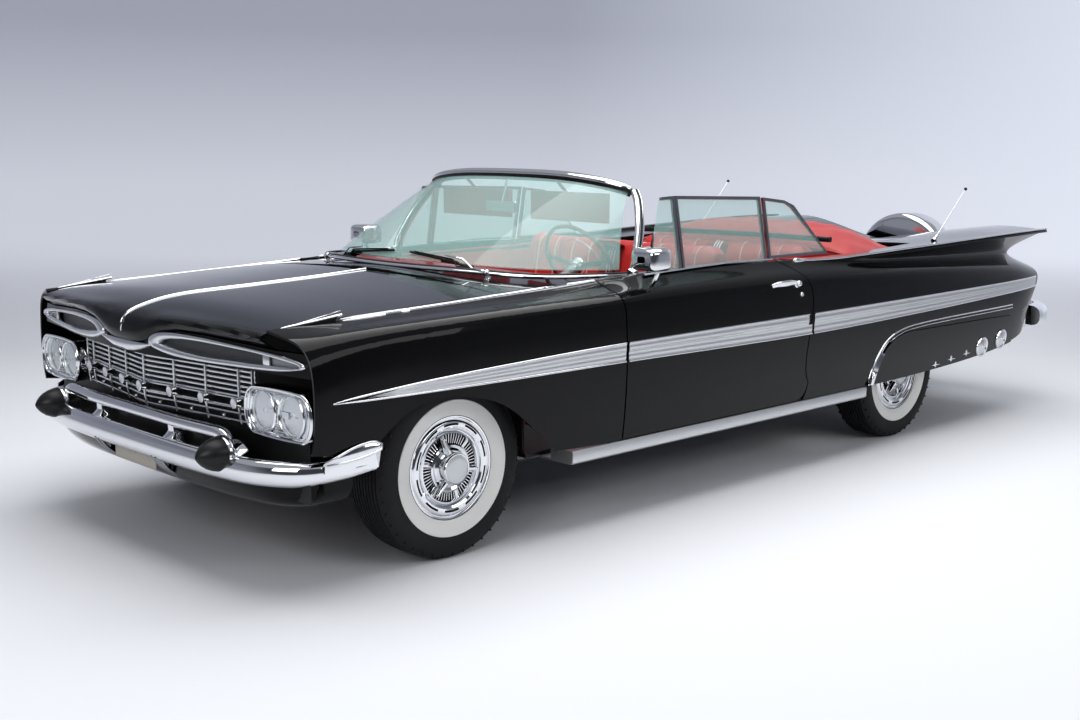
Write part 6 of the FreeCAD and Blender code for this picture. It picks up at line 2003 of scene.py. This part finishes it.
@dataclass
class Cabin:
    """Door and side panels with pleats, carpet and dials."""

    def pleated(self, x0: float, x1: float, y: float, z0: float, z1: float) -> Shell:
        """Panel with upright pleats in its middle band."""
        rows = []
        n = int(abs(x1 - x0) / 6)
        for k in range(n + 1):
            x = x0 + (x1 - x0) * k / n
            row = [at(x, y, z0)]
            for j in range(25):
                z = z0 + (z1 - z0) * j / 24
                band = 1.0 if 0.42 < j / 24 < 0.82 else 0.0
                puff = 5.5 * abs(math.sin(math.pi * (x - x0) / 42)) * band + (4 if band == 0 else 0)
                row.append(at(x, y - puff, z))
            row.append(at(x, y, z1))
            rows.append(row)
        return Shell().grid(rows)

    def build(self) -> None:
        """Builds the inside."""
        door = self.pleated(-850, -1985, 788, 400, 940)
        rest = Shell().sweep(run([(-1180, 770, 690), (-1300, 752, 700), (-1560, 750, 704),
                                  (-1680, 768, 694)], 30),
                             rounded_box(52, 34, 14, 4))
        knob = Shell().tube(run([(-1080, 782, 800), (-1120, 760, 806), (-1160, 758, 800)], 14), 6, 10)
        knob.tube(run([(-1200, 782, 640), (-1210, 764, 640), (-1290, 762, 620)], 14), 5, 10)
        low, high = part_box("side_trims")
        side_panel = self.pleated((high[0] - AXLE_X) / MM - 4, (low[0] - AXLE_X) / MM + 4, 742, 330, 946)
        top_rail = Shell().sweep([at(x, 800, 946 + 0.012 * (-850 - x)) for x in range(-860, -1990, -40)],
                                 rounded_box(26, 10, 4, 3))
        pair("door_panel", door, RED_LEATHER, 40, body="door_")
        pair("arm_rest", rest, RED_LEATHER, 50, body="door_")
        pair("door_cranks", knob, CHROME, 50, body="door_")
        pair("door_top_rail", top_rail, RED_PAINT, 50, body="door_")
        pair("rear_panel", side_panel, RED_LEATHER, 40)
        skin = Skin("floor")
        rows = []
        for k in range(91):
            x = -800 - (1900 - 800) * k / 90
            row = []
            for j in range(61):
                y = 650 * (2 * j / 60 - 1)
                place = skin.over(x, y)[0]
                row.append(Vector((at(x, y, 0).x, y * MM, min(place.z, 0.52) + 0.006)))
            rows.append(row)
        show("carpet", Shell().grid(rows), CARPET, 40)
        dials, faces = Shell(), Shell()
        for y in (250, 340, 460, 550):
            spot, away = (-801, y, 915), Vector((-1, 0, 0.12))
            dials.lathe([(-2, 42), (10, 42), (14, 39), (12, 35), (4, 34)], spot, away, 40)
            faces.lathe([(4, 34), (4.5, 10), (5, 0)], spot, away, 40)
        show("dial_rims", dials, CHROME, 50)
        show("dial_faces", faces, BLACK_TRIM, 50)
        strip = Shell().sweep([at(-804, y, 868) for y in range(-640, 641, 40)], rounded_box(8, 14, 3, 2))
        show("dash_strip", strip, BRUSHED, 50)


# ------------------------------------------------------------------ rear end
@dataclass
class Rear:
    """Rounded rear bumper, outside spare, antennas and the blank plate."""

    bumper: tuple = ((0, 0), (2, 400), (22, 650), (78, 808), (190, 912), (330, 962), (400, 972))

    def spare(self) -> None:
        """Black face in a bright band."""
        node_low, node_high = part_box("spare_wheel")
        front, back = (node_high[0] - AXLE_X) / MM, (node_low[0] - AXLE_X) / MM
        z = (node_low[2] + node_high[2]) / 2 / MM
        r = (node_high[2] - node_low[2]) / 2 / MM
        hub, away = (front, 0, z), Vector((-1, 0, 0))
        deep = front - back
        shell = Shell().lathe([(1, 0), (1, r - 40), (4, r - 12), (18, r - 2), (40, r), (deep - 44, r),
                               (deep - 20, r - 3),
                               (deep - 9, r - 12), (deep - 7, r - 22)], hub, away, 96)
        show("spare_band", shell, CHROME, 50, stands_for=("spare_wheel",))
        face = Shell().lathe([(deep - 8, r - 20), (deep - 14, r - 30), (deep - 8, r - 60), (deep - 4, 150),
                              (deep - 3, 60), (deep - 6, 52)], hub, away, 96)
        show("spare_face", face, PAINT, 40)
        cap = Shell().lathe([(deep - 8, 54), (deep - 2, 52), (deep - 0.5, 44), (deep - 2, 30),
                             (deep - 1, 0)], hub, away, 48)
        show("spare_cap", cap, CHROME, 40)

    def build(self) -> None:
        """Builds the rear end."""
        self.spare()
        x_rear = (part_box("rear_bumper")[0][0] - AXLE_X) / MM
        line = curve([(x_rear + 26 + x, y, 0) for x, y in self.bumper], 110)
        both = across(line)
        rows = []
        for k, p in enumerate(both):
            a, b = both[max(k - 1, 0)], both[min(k + 1, len(both) - 1)]
            along = (b - a).normalized()
            out = Vector((-along.y, along.x, 0))
            near = min(1.0, max(0.0, (abs(p.y) - 700) / 260))
            row = []
            for d, z in ((-30, 410), (-6, 404), (10, 412), (20, 430), (25, 455), (26, 485), (26, 520),
                         (23, 550),
                         (14, 575), (0, 592), (-16, 598), (-30, 594)):
                far = d * (1 + 0.45 * near)
                row.append(at(p.x + out.x * far, p.y + out.y * far,
                              500 + (z - 500) * (1 - 0.42 * near) + 42 * near))
            rows.append(row)
        show("rear_blade", Shell().grid(rows, loop=True, caps=True), CHROME, 50, stands_for=("rear_bumper",))
        plate = Shell().block((x_rear + 1, -152, 470), (x_rear + 6, 152, 590))
        show("rear_plate", plate, PLATE_GREY, 30, bevel=1.5)
        foot, mast, ball = Shell(), Shell(), Shell()
        antenna_low, antenna_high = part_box("antennas")
        base = (-3389, 798, 1000)
        tip = ((antenna_low[0] - AXLE_X) / MM + 9, antenna_high[1] / MM - 9, antenna_high[2] / MM - 9)
        way = (Vector(tip) - Vector(base)).normalized()
        foot.lathe([(-6, 16), (4, 15), (12, 12), (24, 9), (40, 7.5), (44, 5), (60, 4)], base, way, 24)
        mast.tube([at(*(Vector(base) + way * d)) for d in (50, 120, 200,
                                                           (Vector(tip) - Vector(base)).length)], 2.2, 8,
                  scale=lambda t: 1.3 - 0.6 * t)
        ball.lathe([(-8.9, 0.5), (-7, 5), (-3, 8.4), (0, 8.9), (3, 8.4), (7, 5), (8.9, 0)], tip, way, 20)
        pair("antenna_foot", foot, CHROME, 50, stands_for="antennas")
        pair("antenna_mast", mast, CHROME, 50)
        pair("antenna_ball", ball, BLACK_TRIM, 60)


PLAIN = {
    PAINT: ("front_fenders", "quarter_panels", "deck_strip", "deck_lid", "cowl",
            "tail_panel", "skirts", "door_left", "door_right"),
    SATIN_BLACK: ("front_suspension", "rear_axle", "radiator", "floor", "fuel_tank"),
    ENGINE: ("engine",),
    STEEL: ("driveshaft", "exhaust", "steering_column", "knuckle_left", "knuckle_right"),
    BRUSHED: ("rockers",),
    CHROME: ("inside_mirror",),
    DARK_CHROME: ("quarter_glass_frames", "door_frame_left", "door_frame_right"),
    CLEAR: ("windscreen_glass", "quarter_glass", "door_glass_left", "door_glass_right"),
    RED_LENS: ("tail_lamps",),
    RED_LEATHER: ("side_trims",),
    RED_PAINT: ("dashboard", "sun_visors"),
}


def raised_frame() -> None:
    """Frame with its front cross lifted out of sight behind the bumper."""
    mesh = merged_copy("frame")
    for vertex in mesh.vertices:
        if vertex.co.x > at(500, 0, 0).x and vertex.co.z < 0.34:
            vertex.co.z = 0.34 + (vertex.co.z - 0.34) * 0.05
    smooth(mesh, 30)
    piece("frame_rails", mesh, SATIN_BLACK, "body", "frame")


def main() -> None:
    """Builds the whole car, piece by piece."""
    Studio().build()
    raised_frame()
    for finish, nodes in PLAIN.items():
        for node in nodes:
            dressed(node, finish)
    skin = Skin(*SIDE_NODES)
    SideTrim().build(skin)
    FinTrim().build(skin)
    SkirtTrim().build(skin)
    Hood().build()
    Nose().build()
    HoodTrim().build()
    FenderTrim().build(Skin("front_fenders", "cowl"))
    GrilleTrim().build()
    Headlamp().build()
    FrontBumper().build()
    Screen().build()
    DoorFittings().build()
    seams = (-520.0, -400.0, -280.0, -160.0, 160.0, 280.0, 400.0, 520.0)
    Bench("front_seat", ((-1752, -630, 552), (-1262, 630, 684)), ((-1820, -630, 606), (-1708, 630, 1062)),
          9.0,
          seams).build()
    Bench("rear_seat", ((-2655, -552, 556), (-2193, 552, 674)), ((-2626, -556, 606), (-2522, 556, 1022)), 8.0,
          seams[1:-1]).build()
    Boot().build()
    SteeringWheel().build()
    Cabin().build()
    Rear().build()
    for side in Side:
        for end in ("front", "rear"):
            Wheel(side, end).build()


if __name__ == "__main__":
    logging.basicConfig(level=logging.INFO, format="%(message)s")
    main()
